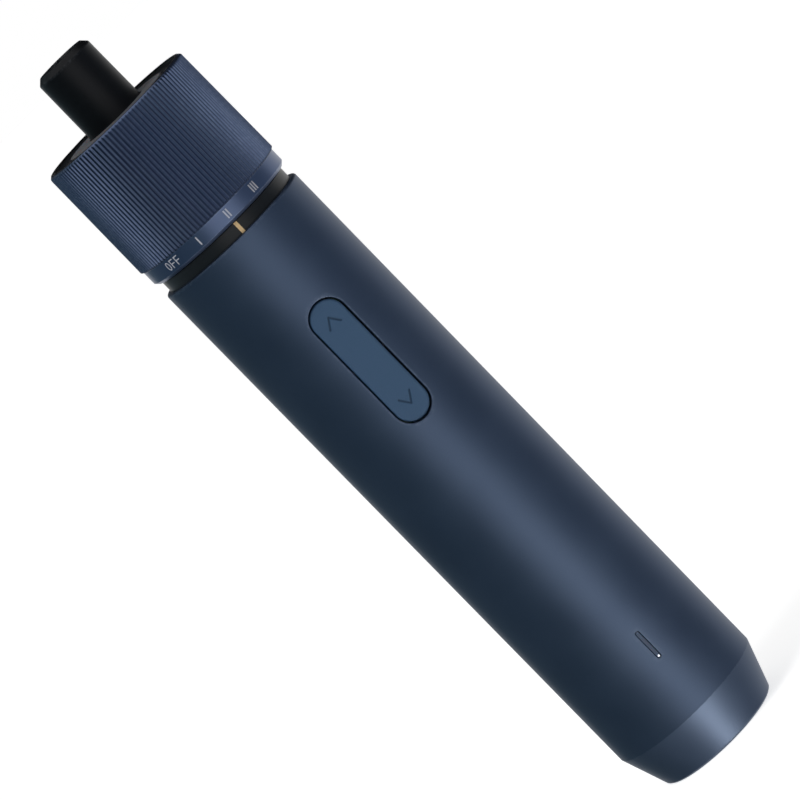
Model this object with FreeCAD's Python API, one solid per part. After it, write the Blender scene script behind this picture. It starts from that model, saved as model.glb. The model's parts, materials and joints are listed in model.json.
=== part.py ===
# Straight cordless screwdriver standing on its tail.
# Lengths are millimetres. Z runs along the tool from the tail face (z = 0) to the bit socket.
# The thumb button, the index mark and the lamp bar face -Y.

import FreeCAD, Part
import math
import os

from FreeCAD import Vector

# Sleeve: the outside tube with a coned tail
BODY_DIAMETER = 35.0
BODY_LENGTH = 140.4
SLEEVE_WALL = 1.6
SLEEVE_EDGE = 0.5
TAIL_DIAMETER = 28.1
TAIL_CONE_LENGTH = 10.14
TAIL_EDGE = 0.4
TAIL_RIM = 2.45
TAIL_SHOULDER = 9.5

# Neck and torque ring
NECK_DIAMETER = 32.5
NECK_LENGTH = 2.8
BAND_DIAMETER = 35.1
BAND_LENGTH = 3.65
BAND_EDGE = 0.7
BAND_STEP = 0.35
RIB_REAR_DIAMETER = 36.04
RIB_FRONT_DIAMETER = 35.74
RIB_LENGTH = 26.04
RIB_COUNT = 120
RIB_DEPTH = 0.3
RIB_GROOVE_SHARE = 0.62
RING_EDGE = 0.6
RING_WALL = 1.1
RING_LIP = 0.67
LINER_WALL = 1.13
LINER_FRONT_SET_BACK = 0.4
RING_MAGNET_WIDTH = 3.0
RING_MAGNET_LENGTH = 4.0
RING_MAGNET_THICKNESS = 0.8
RING_MAGNET_FROM_END = 0.8

# Index mark and position sensor
INDEX_WIDTH = 0.8
INDEX_DEPTH = 0.4
SENSOR_THICKNESS = 0.3
SENSOR_LENGTH = 4.0
SENSOR_FROM_NECK = 2.0
SENSOR_SPAN = 110.0

# Bit holder: nose, shank and quarter inch hexagon socket
NOSE_BASE_DIAMETER = 13.37
NOSE_TIP_DIAMETER = 13.22
NOSE_REACH = 15.54
NOSE_CHAMFER = 1.2
SOCKET_FLATS = 6.4
SOCKET_DEPTH = 13.0
SOCKET_LEAD = 0.6
SHANK_DIAMETER = 9.1
DRIVE_FLATS = 6.6
BIT_MAGNET_DIAMETER = 5.2
BIT_MAGNET_LENGTH = 3.0
CLIP_THICKNESS = 0.6
CLIP_DEPTH = 0.5
CLIP_WIDTH = 1.7
CLIP_GAP = 4.0
WASHER_THICKNESS = 0.5
WASHER_DIAMETER = 12.0

# Front face
CAP_THICKNESS = 1.88
CAP_RECESS = 0.38
CAP_RIM_WIDTH = 0.6
CAP_EDGE = 0.15
CAP_SPIGOT_WALL = 1.0
CAP_SPIGOT_LENGTH = 1.2
LIGHT_DIAMETER = 24.4
LIGHT_THICKNESS = 1.6
LIGHT_FLANGE = 0.4
LIGHT_FLANGE_THICKNESS = 0.9
LIGHT_BOARD_THICKNESS = 1.0
LED_COUNT = 6
LED_SIZE = 1.6
LED_HEIGHT = 0.8

# Front housing: plug in the sleeve, neck, and the tube the ring turns on
PLUG_LENGTH = 12.4
HOUSING_WALL = 1.5
HOUSING_LIP = 1.1
DRAG_RING_SECTION = 0.8
DRAG_RING_FROM_NECK = 8.0

# Gear train: three equal ratio stages, one long ring gear
GEAR_MODULE = 0.5
GEAR_PRESSURE_ANGLE = 20.0
SUN_TEETH = 15
PLANET_TEETH = 15
PLANET_COUNT = 3
ADDENDUM_SHARE = 0.95
DEDENDUM_SHARE = 1.25
RING_ADDENDUM_SHARE = 0.7
TOOTH_THINNING = 0.1
PLANET_WIDTH = 4.7
LAST_PLANET_WIDTH = 6.0
CARRIER_THICKNESS = 1.7
OUTPUT_THICKNESS = 3.0
PLANET_PIN_DIAMETER = 2.5
CARRIER_INSET = 0.5

# Gearbox shell
COVER_THICKNESS = 2.0
COVER_SPIGOT = 3.0
BUSH_LENGTH = 9.3
BUSH_WALL = 1.6
BOSS_WALL = 1.2
PLATE_THICKNESS = 2.0
PILOT_LENGTH = 16.4
CLAMP_GROOVE_WIDTH = 1.5
CLAMP_GROOVE_DEPTH = 0.5
CLAMP_GROOVE_FROM_END = 3.0

# Motor
MOTOR_DIAMETER = 24.4
MOTOR_LENGTH = 31.0
MOTOR_WALL = 0.9
MOTOR_FRONT_WALL = 1.0
MOTOR_BOSS_DIAMETER = 6.1
MOTOR_BOSS_LENGTH = 1.5
END_CAP_LENGTH = 4.0
END_CAP_FLOOR = 1.6
SHAFT_DIAMETER = 2.3
SHAFT_TAIL = 0.6
MAGNET_THICKNESS = 2.6
MAGNET_LENGTH = 21.0
MAGNET_SPAN = 130.0
AIR_GAP = 0.5
CORE_LENGTH = 14.0
CORE_POLES = 5
CORE_HUB_DIAMETER = 6.0
CORE_ARM_WIDTH = 2.2
CORE_SHOE_THICKNESS = 1.1
CORE_SHOE_SPAN = 56.0
COIL_THICKNESS = 0.9
COIL_ROOM = 0.15
COMMUTATOR_DIAMETER = 5.6
COMMUTATOR_LENGTH = 3.4
BRUSH_WIDTH = 2.6
BRUSH_LENGTH = 3.4
BRUSH_HEIGHT = 2.6
MOTOR_SCREW_PITCH = 16.0
MOTOR_SCREW_DIAMETER = 2.4
MOTOR_SCREW_HEAD = 3.8
MOTOR_SCREW_HEAD_DEPTH = 1.0
MOTOR_SCREW_REACH = 1.6
LEAD_DIAMETER = 1.4
LEAD_SPACING = 13.0
LEAD_BEND = 3.0

# Battery, boards and charging inlet
CELL_DIAMETER = 18.4
CELL_LENGTH = 65.0
CELL_EDGE = 0.6
CELL_CAP_DIAMETER = 8.0
CELL_CAP_HEIGHT = 0.5
CELL_START = 14.5
TAB_WIDTH = 5.0
TAB_THICKNESS = 0.2
BOARD_THICKNESS = 1.0
BOARD_WIDTH = 18.0
BOARD_BELOW_CELL = 3.2
BOARD_MOTOR_GAP = 3.4
CONTROLLER_SIZE = 7.0
TRANSISTOR_WIDTH = 5.0
TRANSISTOR_LENGTH = 6.0
CHIP_HEIGHT = 1.0
LAMP_CHIP_WIDTH = 0.8
LAMP_CHIP_LENGTH = 1.6
LAMP_CHIP_HEIGHT = 0.6
CONTROLLER_AT_SHARE = 0.48
TRANSISTOR_AT_SHARE = 0.77
PIN_SIDE = 0.6
PIN_PITCH = 2.54
PIN_COUNT = 4
CHARGE_WIDTH = 12.0
CHARGE_THICKNESS = 0.8
CHARGE_END = 13.2
CHARGE_PIN_FROM_END = 0.7
USB_WIDTH = 8.94
USB_HEIGHT = 3.26
USB_SHEET = 0.3
USB_BACK = 0.4
USB_LENGTH = 7.3
USB_SET_BACK = 0.4
TONGUE_WIDTH = 6.4
TONGUE_THICKNESS = 0.7
TONGUE_SET_BACK = 0.9
CAP_PLUG_SET_BACK = 0.3
CAP_PLUG_END = 1.4
CAP_FLANGE = 1.5

# Lamp bar near the tail
LAMP_SLOT_START = 22.8
LAMP_SLOT_LENGTH = 7.1
LAMP_SLOT_WIDTH = 1.0
LAMP_FLANGE = 0.7
LAMP_FLANGE_THICKNESS = 1.0
LAMP_BELOW_FACE = 0.05
LAMP_CHIP_GAP = 0.2

# Thumb button
BUTTON_SLOT_START = 89.6
BUTTON_SLOT_LENGTH = 31.2
BUTTON_SLOT_WIDTH = 8.35
BUTTON_GAP = 0.3
BUTTON_BELOW_FACE = 0.55
BUTTON_THICKNESS = 1.6
BUTTON_EDGE = 0.3
BUTTON_PAD_DIAMETER = 2.8
BUTTON_PAD_REACH = 2.2
BUTTON_HOOK_WIDTH = 4.0
BUTTON_HOOK_REACH = 0.9
BUTTON_HOOK_ROOT = 1.6
BUTTON_HOOK_TOP = 2.0
BUTTON_HOOK_BOTTOM = 2.5
AXLE_DIAMETER = 1.0
AXLE_BELOW_FACE = 3.15
AXLE_LENGTH = 10.4
AXLE_LUG_DIAMETER = 1.8
SWITCH_SPREAD = 22.0
SWITCH_SIZE = 4.4
SWITCH_HEIGHT = 0.7
PLUNGER_DIAMETER = 2.2
PLUNGER_HEIGHT = 0.3
PLUNGER_GAP = 0.45
SWITCH_BOARD_WIDTH = 9.2
SWITCH_BOARD_THICKNESS = 0.7
SWITCH_BOARD_LENGTH = 31.0
SWITCH_BOARD_START = 88.0

# Inner frame
FRAME_WALL = 1.4
FRAME_RIB = 1.6
FRAME_RIB_HEIGHTS = (18.0, 47.0, 74.0)
FRAME_MOTOR_RIB = 109.0
FRAME_SPLIT_GAP = 0.1
FRAME_WINDOW_SIDE = 0.38
FRAME_WINDOW_END = 1.4
SCREW_SPACING = 22.0
SCREW_HEIGHTS = (13.3, 88.0)
SCREW_POST_DIAMETER = 3.4
SCREW_DIAMETER = 1.6
SCREW_HEAD_DIAMETER = 3.0
SCREW_HEAD_HEIGHT = 1.2
SCREW_FRONT_REACH = 6.0
SCREW_HEAD_SEAT = 5.0

# Clearances shared by the fits
SLIDE_GAP = 0.1
CLOSE_GAP = 0.05
RUN_GAP = 0.06
NOSE_GAP = 0.3
RING_GAP = 0.2
AXIAL_PLAY = 0.3
OVERRUN = 1.0

FULL_TURN = 360.0
HALF_TURN = 180.0
QUARTER_TURN = 90.0
ORIGIN = Vector(0, 0, 0)
X_AXIS = Vector(1, 0, 0)
Y_AXIS = Vector(0, 1, 0)
Z_AXIS = Vector(0, 0, 1)

# Radii that follow from the sizes
BODY_R = BODY_DIAMETER / 2
BORE_R = BODY_R - SLEEVE_WALL
TAIL_R = TAIL_DIAMETER / 2
TAIL_BORE_R = TAIL_R - TAIL_RIM
FRAME_R = BORE_R - SLIDE_GAP
FRAME_BORE_R = FRAME_R - FRAME_WALL
NECK_R = NECK_DIAMETER / 2
BAND_R = BAND_DIAMETER / 2
RIB_REAR_R = RIB_REAR_DIAMETER / 2
RIB_FRONT_R = RIB_FRONT_DIAMETER / 2
RING_BORE_R = BAND_R - RING_WALL
LINER_R = RING_BORE_R - CLOSE_GAP
LINER_BORE_R = LINER_R - LINER_WALL
TUBE_R = LINER_BORE_R - RUN_GAP
HOUSING_BORE_R = TUBE_R - HOUSING_WALL
LIP_BORE_R = HOUSING_BORE_R - HOUSING_LIP
GEARBOX_R = HOUSING_BORE_R - SLIDE_GAP
MOTOR_R = MOTOR_DIAMETER / 2
PILOT_R = MOTOR_R + CLOSE_GAP
CAN_BORE_R = MOTOR_R - MOTOR_WALL
SHAFT_R = SHAFT_DIAMETER / 2
SHANK_R = SHANK_DIAMETER / 2
BUSH_BORE_R = SHANK_R + RUN_GAP
BUSH_R = BUSH_BORE_R + BUSH_WALL
BOSS_R = BUSH_R + CLOSE_GAP + BOSS_WALL
NOSE_BASE_R = NOSE_BASE_DIAMETER / 2
NOSE_TIP_R = NOSE_TIP_DIAMETER / 2
LIGHT_R = LIGHT_DIAMETER / 2
LIGHT_BORE_R = NOSE_BASE_R + NOSE_GAP
CAP_R = RIB_FRONT_R - RING_LIP - SLIDE_GAP
CAP_RIM_BORE_R = CAP_R - CAP_RIM_WIDTH
CELL_R = CELL_DIAMETER / 2
AXLE_R = AXLE_DIAMETER / 2

# Heights that follow from the sizes
RING_REAR_Z = BODY_LENGTH + NECK_LENGTH
NECK_TOP_Z = RING_REAR_Z - RING_GAP
BAND_TOP_Z = RING_REAR_Z + BAND_LENGTH
RIB_REAR_Z = BAND_TOP_Z + BAND_STEP
FRONT_Z = RIB_REAR_Z + RIB_LENGTH
PLUG_REAR_Z = BODY_LENGTH - PLUG_LENGTH
CAP_FRONT_Z = FRONT_Z - CAP_RECESS
TIP_Z = CAP_FRONT_Z + NOSE_REACH
CAP_REAR_Z = CAP_FRONT_Z - CAP_THICKNESS
TUBE_FRONT_Z = CAP_REAR_Z - CLOSE_GAP
LIGHT_REAR_Z = CAP_REAR_Z
LIGHT_STEP_Z = LIGHT_REAR_Z + LIGHT_FLANGE_THICKNESS
BOSS_FRONT_Z = CAP_REAR_Z - AXIAL_PLAY
NOSE_SHOULDER_Z = BOSS_FRONT_Z + RING_GAP
BUSH_REAR_Z = BOSS_FRONT_Z - BUSH_LENGTH
LED_TOP_Z = LIGHT_REAR_Z - LIGHT_THICKNESS
LIGHT_BOARD_FRONT_Z = LED_TOP_Z - LED_HEIGHT
LIGHT_BOARD_REAR_Z = LIGHT_BOARD_FRONT_Z - LIGHT_BOARD_THICKNESS
COVER_FRONT_Z = LIGHT_BOARD_REAR_Z - CLOSE_GAP
COVER_REAR_Z = COVER_FRONT_Z - COVER_THICKNESS
WASHER_REAR_Z = BUSH_REAR_Z - CLOSE_GAP - WASHER_THICKNESS
CLIP_FRONT_Z = WASHER_REAR_Z - CLOSE_GAP
CLIP_REAR_Z = CLIP_FRONT_Z - CLIP_THICKNESS
OUTPUT_FRONT_Z = CLIP_REAR_Z - SLIDE_GAP
OUTPUT_REAR_Z = OUTPUT_FRONT_Z - OUTPUT_THICKNESS
PLANET_WIDTHS = (PLANET_WIDTH, PLANET_WIDTH, LAST_PLANET_WIDTH)
PLANET_3_Z = OUTPUT_REAR_Z - AXIAL_PLAY - LAST_PLANET_WIDTH
CARRIER_2_Z = PLANET_3_Z - AXIAL_PLAY - CARRIER_THICKNESS
PLANET_2_Z = CARRIER_2_Z - AXIAL_PLAY - PLANET_WIDTH
CARRIER_1_Z = PLANET_2_Z - AXIAL_PLAY - CARRIER_THICKNESS
PLANET_1_Z = CARRIER_1_Z - AXIAL_PLAY - PLANET_WIDTH
PLANET_STARTS = (PLANET_1_Z, PLANET_2_Z, PLANET_3_Z)
PLATE_FRONT_Z = PLANET_1_Z - AXIAL_PLAY
PLATE_REAR_Z = PLATE_FRONT_Z - PLATE_THICKNESS
MOTOR_FRONT_Z = PLATE_REAR_Z
MOTOR_REAR_Z = MOTOR_FRONT_Z - MOTOR_LENGTH
CAN_REAR_Z = MOTOR_REAR_Z + END_CAP_LENGTH
GEARBOX_REAR_Z = PLATE_FRONT_Z - PILOT_LENGTH
CLAMP_GROOVE_Z = GEARBOX_REAR_Z + CLAMP_GROOVE_FROM_END
TAIL_FLANGE_Z = TAIL_SHOULDER + CAP_FLANGE
FRAME_START_Z = TAIL_FLANGE_Z
FRAME_END_Z = PLUG_REAR_Z - SLIDE_GAP

# Gear radii
SUN_PITCH_R = GEAR_MODULE * SUN_TEETH / 2
PLANET_PITCH_R = GEAR_MODULE * PLANET_TEETH / 2
GEAR_CENTRES = SUN_PITCH_R + PLANET_PITCH_R
RING_TEETH = SUN_TEETH + 2 * PLANET_TEETH
RING_PITCH_R = GEAR_MODULE * RING_TEETH / 2
RING_ROOT_R = RING_PITCH_R + DEDENDUM_SHARE * GEAR_MODULE
RING_TIP_R = RING_PITCH_R - RING_ADDENDUM_SHARE * GEAR_MODULE
SUN_TIP_R = SUN_PITCH_R + ADDENDUM_SHARE * GEAR_MODULE
PIN_R = PLANET_PIN_DIAMETER / 2
CARRIER_R = RING_TIP_R - CARRIER_INSET
COVER_SPIGOT_R = RING_ROOT_R + 2 * SLIDE_GAP

# Places across the tool
CELL_Y = FRAME_BORE_R - SLIDE_GAP - CELL_R
BOARD_BACK_Y = CELL_Y - CELL_R - BOARD_BELOW_CELL
BOARD_FACE_Y = BOARD_BACK_Y - BOARD_THICKNESS
BOARD_END_Z = MOTOR_REAR_Z - BOARD_MOTOR_GAP
LEAD_Y = BOARD_BACK_Y + LEAD_BEND
BUTTON_MID_Z = BUTTON_SLOT_START + BUTTON_SLOT_LENGTH / 2
BUTTON_FACE_Y = -BODY_R + BUTTON_BELOW_FACE
BUTTON_BACK_Y = BUTTON_FACE_Y + BUTTON_THICKNESS
BUTTON_PAD_Y = BUTTON_FACE_Y + BUTTON_PAD_REACH
BUTTON_WIDTH = BUTTON_SLOT_WIDTH - 2 * BUTTON_GAP
BUTTON_LENGTH = BUTTON_SLOT_LENGTH - 2 * BUTTON_GAP
AXLE_Y = -BODY_R + AXLE_BELOW_FACE
PLUNGER_TOP_Y = BUTTON_PAD_Y + PLUNGER_GAP
SWITCH_TOP_Y = PLUNGER_TOP_Y + PLUNGER_HEIGHT
SWITCH_BOARD_FACE_Y = SWITCH_TOP_Y + SWITCH_HEIGHT
SWITCH_BOARD_BACK_Y = SWITCH_BOARD_FACE_Y + SWITCH_BOARD_THICKNESS
SWITCH_BOARD_END = SWITCH_BOARD_START + SWITCH_BOARD_LENGTH
SWITCH_PIN_Z = SWITCH_BOARD_START + SCREW_POST_DIAMETER + PIN_PITCH
LAMP_MID_Z = LAMP_SLOT_START + LAMP_SLOT_LENGTH / 2
LAMP_CHIP_TOP_Y = BOARD_FACE_Y - LAMP_CHIP_HEIGHT
CHARGE_FACE_Y = USB_HEIGHT / 2
CHARGE_BACK_Y = CHARGE_FACE_Y + CHARGE_THICKNESS
CHARGE_START = CAP_PLUG_SET_BACK + CAP_PLUG_END + SLIDE_GAP
USB_FRONT_Z = CAP_PLUG_SET_BACK + USB_SET_BACK
USB_BACK_Z = USB_FRONT_Z + USB_LENGTH


# Building blocks

def turned(corners):
    """Solid of revolution about Z from a closed row of (radius, height) corners."""
    points = [Vector(radius, 0, height) for radius, height in corners]
    face = Part.Face(Part.makePolygon(points + points[:1]))
    return face.revolve(ORIGIN, Z_AXIS, FULL_TURN)


def disc(radius, start, end, x=0, y=0):
    """Round bar along Z between two heights."""
    return Part.makeCylinder(radius, end - start, Vector(x, y, start))


def tube(outer, inner, start, end):
    """Plain ring along Z."""
    return disc(outer, start, end).cut(disc(inner, start, end))


def bar_y(radius, start, end, x, z):
    """Round bar along Y between two depths."""
    return Part.makeCylinder(radius, end - start, Vector(x, start, z), Y_AXIS)


def bar_x(radius, length, y, z):
    """Round bar along X, centred on the middle plane."""
    return Part.makeCylinder(radius, length, Vector(-length / 2, y, z), X_AXIS)


def block(x_span, y_span, z_span):
    """Rectangular block from three (start, end) pairs."""
    starts = Vector(x_span[0], y_span[0], z_span[0])
    sizes = [span[1] - span[0] for span in (x_span, y_span, z_span)]
    return Part.makeBox(*sizes, starts)


def centred(width, middle=0):
    """A (start, end) pair about a middle."""
    return (middle - width / 2, middle + width / 2)


def round_ended(width, length):
    """Flat face in the XY plane with straight sides along Y and full-round ends."""
    radius = width / 2
    reach = length / 2 - radius
    corners = [Vector(radius, -reach, 0), Vector(radius, reach, 0)]
    corners += [Vector(-radius, reach, 0), Vector(-radius, -reach, 0)]
    top = Part.Arc(corners[1], Vector(0, length / 2, 0), corners[2])
    bottom = Part.Arc(corners[3], Vector(0, -length / 2, 0), corners[0])
    sides = [Part.makeLine(corners[0], corners[1]), Part.makeLine(corners[2], corners[3])]
    wire = Part.Wire([sides[0], top.toShape(), sides[1], bottom.toShape()])
    return Part.Face(wire)


def slot_y(width, length, middle, start, end):
    """Round-ended bar running along Y; its long side lies along Z."""
    face = round_ended(width, length)
    face.rotate(ORIGIN, X_AXIS, QUARTER_TURN)
    face.translate(Vector(0, start, middle))
    return face.extrude(Vector(0, end - start, 0))


def slot_z(width, height, start, end):
    """Round-ended bar running along Z; its long side lies along X."""
    face = round_ended(height, width)
    face.rotate(ORIGIN, Z_AXIS, QUARTER_TURN)
    face.translate(Vector(0, 0, start))
    return face.extrude(Vector(0, 0, end - start))


def hexagon(flats, start, end):
    """Hexagonal bar along Z, flats across X."""
    corner = flats / math.sqrt(3)
    angles = [math.radians(FULL_TURN * step / 6 + FULL_TURN / 12) for step in range(6)]
    points = [Vector(corner * math.cos(a), corner * math.sin(a), start) for a in angles]
    face = Part.Face(Part.makePolygon(points + points[:1]))
    return face.extrude(Vector(0, 0, end - start))


def spun(shape, degrees):
    """Copy turned about Z."""
    turned_copy = shape.copy()
    turned_copy.rotate(ORIGIN, Z_AXIS, degrees)
    return turned_copy


def around(shape, count):
    """Evenly spaced copies about Z."""
    return [spun(shape, FULL_TURN * step / count) for step in range(count)]


def sector(outer, inner, start, end, span, middle):
    """Part of a ring, spanning an angle about a middle direction."""
    solids = []
    for radius in (outer, inner):
        solids.append(Part.makeCylinder(radius, end - start, Vector(0, 0, start), Z_AXIS, span))
    return spun(solids[0].cut(solids[1]), middle - span / 2)


def polar(radius, angle):
    """Point in the XY plane, angle in radians."""
    return Vector(radius * math.cos(angle), radius * math.sin(angle), 0)


# Outside shell

def cone_radius(height):
    """Outside radius of the coned tail at a height."""
    return TAIL_R + (BODY_R - TAIL_R) * height / TAIL_CONE_LENGTH


def sleeve():
    corners = [(TAIL_BORE_R, 0), (TAIL_R - TAIL_EDGE, 0), (cone_radius(TAIL_EDGE), TAIL_EDGE)]
    corners += [(BODY_R, TAIL_CONE_LENGTH), (BODY_R, BODY_LENGTH - SLEEVE_EDGE)]
    corners += [(BODY_R - SLEEVE_EDGE, BODY_LENGTH), (BORE_R, BODY_LENGTH)]
    corners += [(BORE_R, TAIL_SHOULDER), (TAIL_BORE_R, TAIL_SHOULDER)]
    outside = -BODY_R - OVERRUN
    button = slot_y(BUTTON_SLOT_WIDTH, BUTTON_SLOT_LENGTH, BUTTON_MID_Z, outside, 0)
    lamp = slot_y(LAMP_SLOT_WIDTH, LAMP_SLOT_LENGTH, LAMP_MID_Z, outside, 0)
    return turned(corners).cut([button, lamp])


def tail_cap():
    plug_r = TAIL_BORE_R - SLIDE_GAP
    corners = [(0, CAP_PLUG_SET_BACK), (plug_r, CAP_PLUG_SET_BACK), (plug_r, TAIL_SHOULDER)]
    corners += [(FRAME_R, TAIL_SHOULDER), (FRAME_R, TAIL_FLANGE_Z), (0, TAIL_FLANGE_Z)]
    port = slot_z(USB_WIDTH + 2 * SLIDE_GAP, USB_HEIGHT + 2 * SLIDE_GAP, 0, TAIL_FLANGE_Z)
    pocket_y = (-USB_HEIGHT / 2 - SLIDE_GAP, CHARGE_BACK_Y + CLOSE_GAP)
    pocket_z = (CAP_PLUG_SET_BACK + CAP_PLUG_END, TAIL_FLANGE_Z + OVERRUN)
    pocket = block(centred(CHARGE_WIDTH + 2 * SLIDE_GAP), pocket_y, pocket_z)
    return turned(corners).cut([port, pocket])


def front_housing():
    plug_r = BORE_R - CLOSE_GAP
    drag_z = NECK_TOP_Z + DRAG_RING_FROM_NECK
    drag_floor = TUBE_R - DRAG_RING_SECTION
    half_groove = DRAG_RING_SECTION / 2 + CLOSE_GAP
    corners = [(HOUSING_BORE_R, PLUG_REAR_Z), (plug_r, PLUG_REAR_Z), (plug_r, BODY_LENGTH)]
    corners += [(NECK_R, BODY_LENGTH), (NECK_R, NECK_TOP_Z), (TUBE_R, NECK_TOP_Z)]
    corners += [(TUBE_R, drag_z - half_groove), (drag_floor, drag_z - half_groove)]
    corners += [(drag_floor, drag_z + half_groove), (TUBE_R, drag_z + half_groove)]
    corners += [(TUBE_R, TUBE_FRONT_Z), (LIP_BORE_R, TUBE_FRONT_Z)]
    corners += [(LIP_BORE_R, COVER_FRONT_Z + CLOSE_GAP), (HOUSING_BORE_R, COVER_FRONT_Z + CLOSE_GAP)]
    spigot_z = TUBE_FRONT_Z - CAP_SPIGOT_LENGTH
    groove = tube(spigot_outer() + CLOSE_GAP, spigot_inner() - CLOSE_GAP, spigot_z, TUBE_FRONT_Z + OVERRUN)
    mark_y = (-NECK_R - OVERRUN, -NECK_R + INDEX_DEPTH)
    mark = block(centred(INDEX_WIDTH), mark_y, (BODY_LENGTH, NECK_TOP_Z + OVERRUN))
    return turned(corners).cut([groove, mark, sensor_space(CLOSE_GAP)])


def spigot_outer():
    """Outside radius of the front cap's locating rib."""
    return HOUSING_BORE_R + CAP_SPIGOT_WALL / 2


def spigot_inner():
    """Inside radius of the front cap's locating rib."""
    return HOUSING_BORE_R - CAP_SPIGOT_WALL / 2


def sensor_space(room):
    """Curved strip under the sleeve behind the neck; room widens it into its pocket."""
    top = BODY_LENGTH - SENSOR_FROM_NECK
    outer = BORE_R - CLOSE_GAP - SLIDE_GAP + room
    inner = BORE_R - CLOSE_GAP - SLIDE_GAP - SENSOR_THICKNESS - room
    if room:
        outer = outer + OVERRUN
    return sector(outer, inner, top - SENSOR_LENGTH - room, top + room, SENSOR_SPAN, -QUARTER_TURN)


def index_mark():
    floor = -NECK_R + INDEX_DEPTH
    bar = block(centred(INDEX_WIDTH), (-NECK_R - OVERRUN, floor), (BODY_LENGTH, NECK_TOP_Z))
    return bar.common(disc(NECK_R, BODY_LENGTH, NECK_TOP_Z))


def front_cap():
    bore_r = LIGHT_R + CLOSE_GAP
    rabbet_r = bore_r + LIGHT_FLANGE
    rabbet_z = LIGHT_STEP_Z + CLOSE_GAP
    spigot_z = CAP_REAR_Z - CAP_SPIGOT_LENGTH
    corners = [(rabbet_r, CAP_REAR_Z), (spigot_inner(), CAP_REAR_Z), (spigot_inner(), spigot_z)]
    corners += [(spigot_outer(), spigot_z), (spigot_outer(), CAP_REAR_Z), (CAP_R, CAP_REAR_Z)]
    corners += [(CAP_R, FRONT_Z - CAP_EDGE), (CAP_R - CAP_EDGE, FRONT_Z)]
    corners += [(CAP_RIM_BORE_R, FRONT_Z), (CAP_RIM_BORE_R, CAP_FRONT_Z)]
    corners += [(bore_r, CAP_FRONT_Z), (bore_r, rabbet_z), (rabbet_r, rabbet_z)]
    return turned(corners)


def light_ring():
    flange_r = LIGHT_R + LIGHT_FLANGE
    corners = [(LIGHT_BORE_R, LIGHT_REAR_Z), (flange_r, LIGHT_REAR_Z), (flange_r, LIGHT_STEP_Z)]
    corners += [(LIGHT_R, LIGHT_STEP_Z), (LIGHT_R, CAP_FRONT_Z), (LIGHT_BORE_R, CAP_FRONT_Z)]
    return turned(corners)


def light_board():
    return tube(LIP_BORE_R - SLIDE_GAP, BOSS_R + SLIDE_GAP, LIGHT_BOARD_REAR_Z, LIGHT_BOARD_FRONT_Z)


def light_leds():
    middle = (LIP_BORE_R + BOSS_R) / 2
    led = block(centred(LED_SIZE, middle), centred(LED_SIZE), (LIGHT_BOARD_FRONT_Z, LED_TOP_Z))
    return Part.makeCompound(around(led, LED_COUNT))


# Torque ring

def rib_prism(start, end):
    """Straight ribbed bar: round grooves with narrow lands between them."""
    pitch = 2 * math.pi / RIB_COUNT
    half_groove = pitch * RIB_GROOVE_SHARE / 2
    land_r = RIB_REAR_R + CLOSE_GAP
    edges = []
    for step in range(RIB_COUNT):
        middle = pitch * step
        near = polar(land_r, middle - half_groove)
        floor = polar(RIB_FRONT_R - RIB_DEPTH, middle)
        far = polar(land_r, middle + half_groove)
        crest = polar(land_r, middle + pitch / 2)
        after = polar(land_r, middle + pitch - half_groove)
        edges.append(Part.Arc(near, floor, far).toShape())
        edges.append(Part.Arc(far, crest, after).toShape())
    face = Part.Face(Part.Wire(edges))
    face.translate(Vector(0, 0, start))
    return face.extrude(Vector(0, 0, end - start))


def torque_ring():
    front_z = FRONT_Z + OVERRUN
    taper = (RIB_REAR_R - RIB_FRONT_R) / RIB_LENGTH
    corners = [(0, BAND_TOP_Z), (BAND_R, BAND_TOP_Z), (RIB_REAR_R, RIB_REAR_Z)]
    corners += [(RIB_FRONT_R + taper * RING_EDGE, FRONT_Z - RING_EDGE)]
    corners += [(RIB_FRONT_R - RING_EDGE, FRONT_Z), (0, FRONT_Z)]
    body = turned(corners).common(rib_prism(BAND_TOP_Z - OVERRUN, front_z))
    band = [(0, RING_REAR_Z), (BAND_R - BAND_EDGE, RING_REAR_Z), (BAND_R, RING_REAR_Z + BAND_EDGE)]
    band += [(BAND_R, BAND_TOP_Z), (0, BAND_TOP_Z)]
    bore = disc(RING_BORE_R, RING_REAR_Z - OVERRUN, front_z)
    mouth = disc(CAP_R + SLIDE_GAP, CAP_REAR_Z - SLIDE_GAP, front_z)
    return body.fuse(turned(band)).cut([bore, mouth])


def magnet_space(room):
    """Block in the liner's rear end on the side away from the button."""
    middle = (LINER_R + LINER_BORE_R) / 2
    start = RING_REAR_Z + LINER_FRONT_SET_BACK + RING_MAGNET_FROM_END
    widths = centred(RING_MAGNET_WIDTH + 2 * room)
    depths = centred(RING_MAGNET_THICKNESS + 2 * room, middle)
    return block(widths, depths, (start - room, start + RING_MAGNET_LENGTH + room))


def ring_liner():
    start = RING_REAR_Z + LINER_FRONT_SET_BACK
    body = tube(LINER_R, LINER_BORE_R, start, CAP_REAR_Z - LINER_FRONT_SET_BACK)
    return body.cut(magnet_space(CLOSE_GAP))


def ring_magnet():
    return magnet_space(0)


def sensor_strip():
    return sensor_space(0)


def drag_ring():
    start = NECK_TOP_Z + DRAG_RING_FROM_NECK - DRAG_RING_SECTION / 2
    inner = TUBE_R - DRAG_RING_SECTION + CLOSE_GAP
    return tube(LINER_BORE_R - CLOSE_GAP / 2, inner, start, start + DRAG_RING_SECTION)


# Spindle

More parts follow.
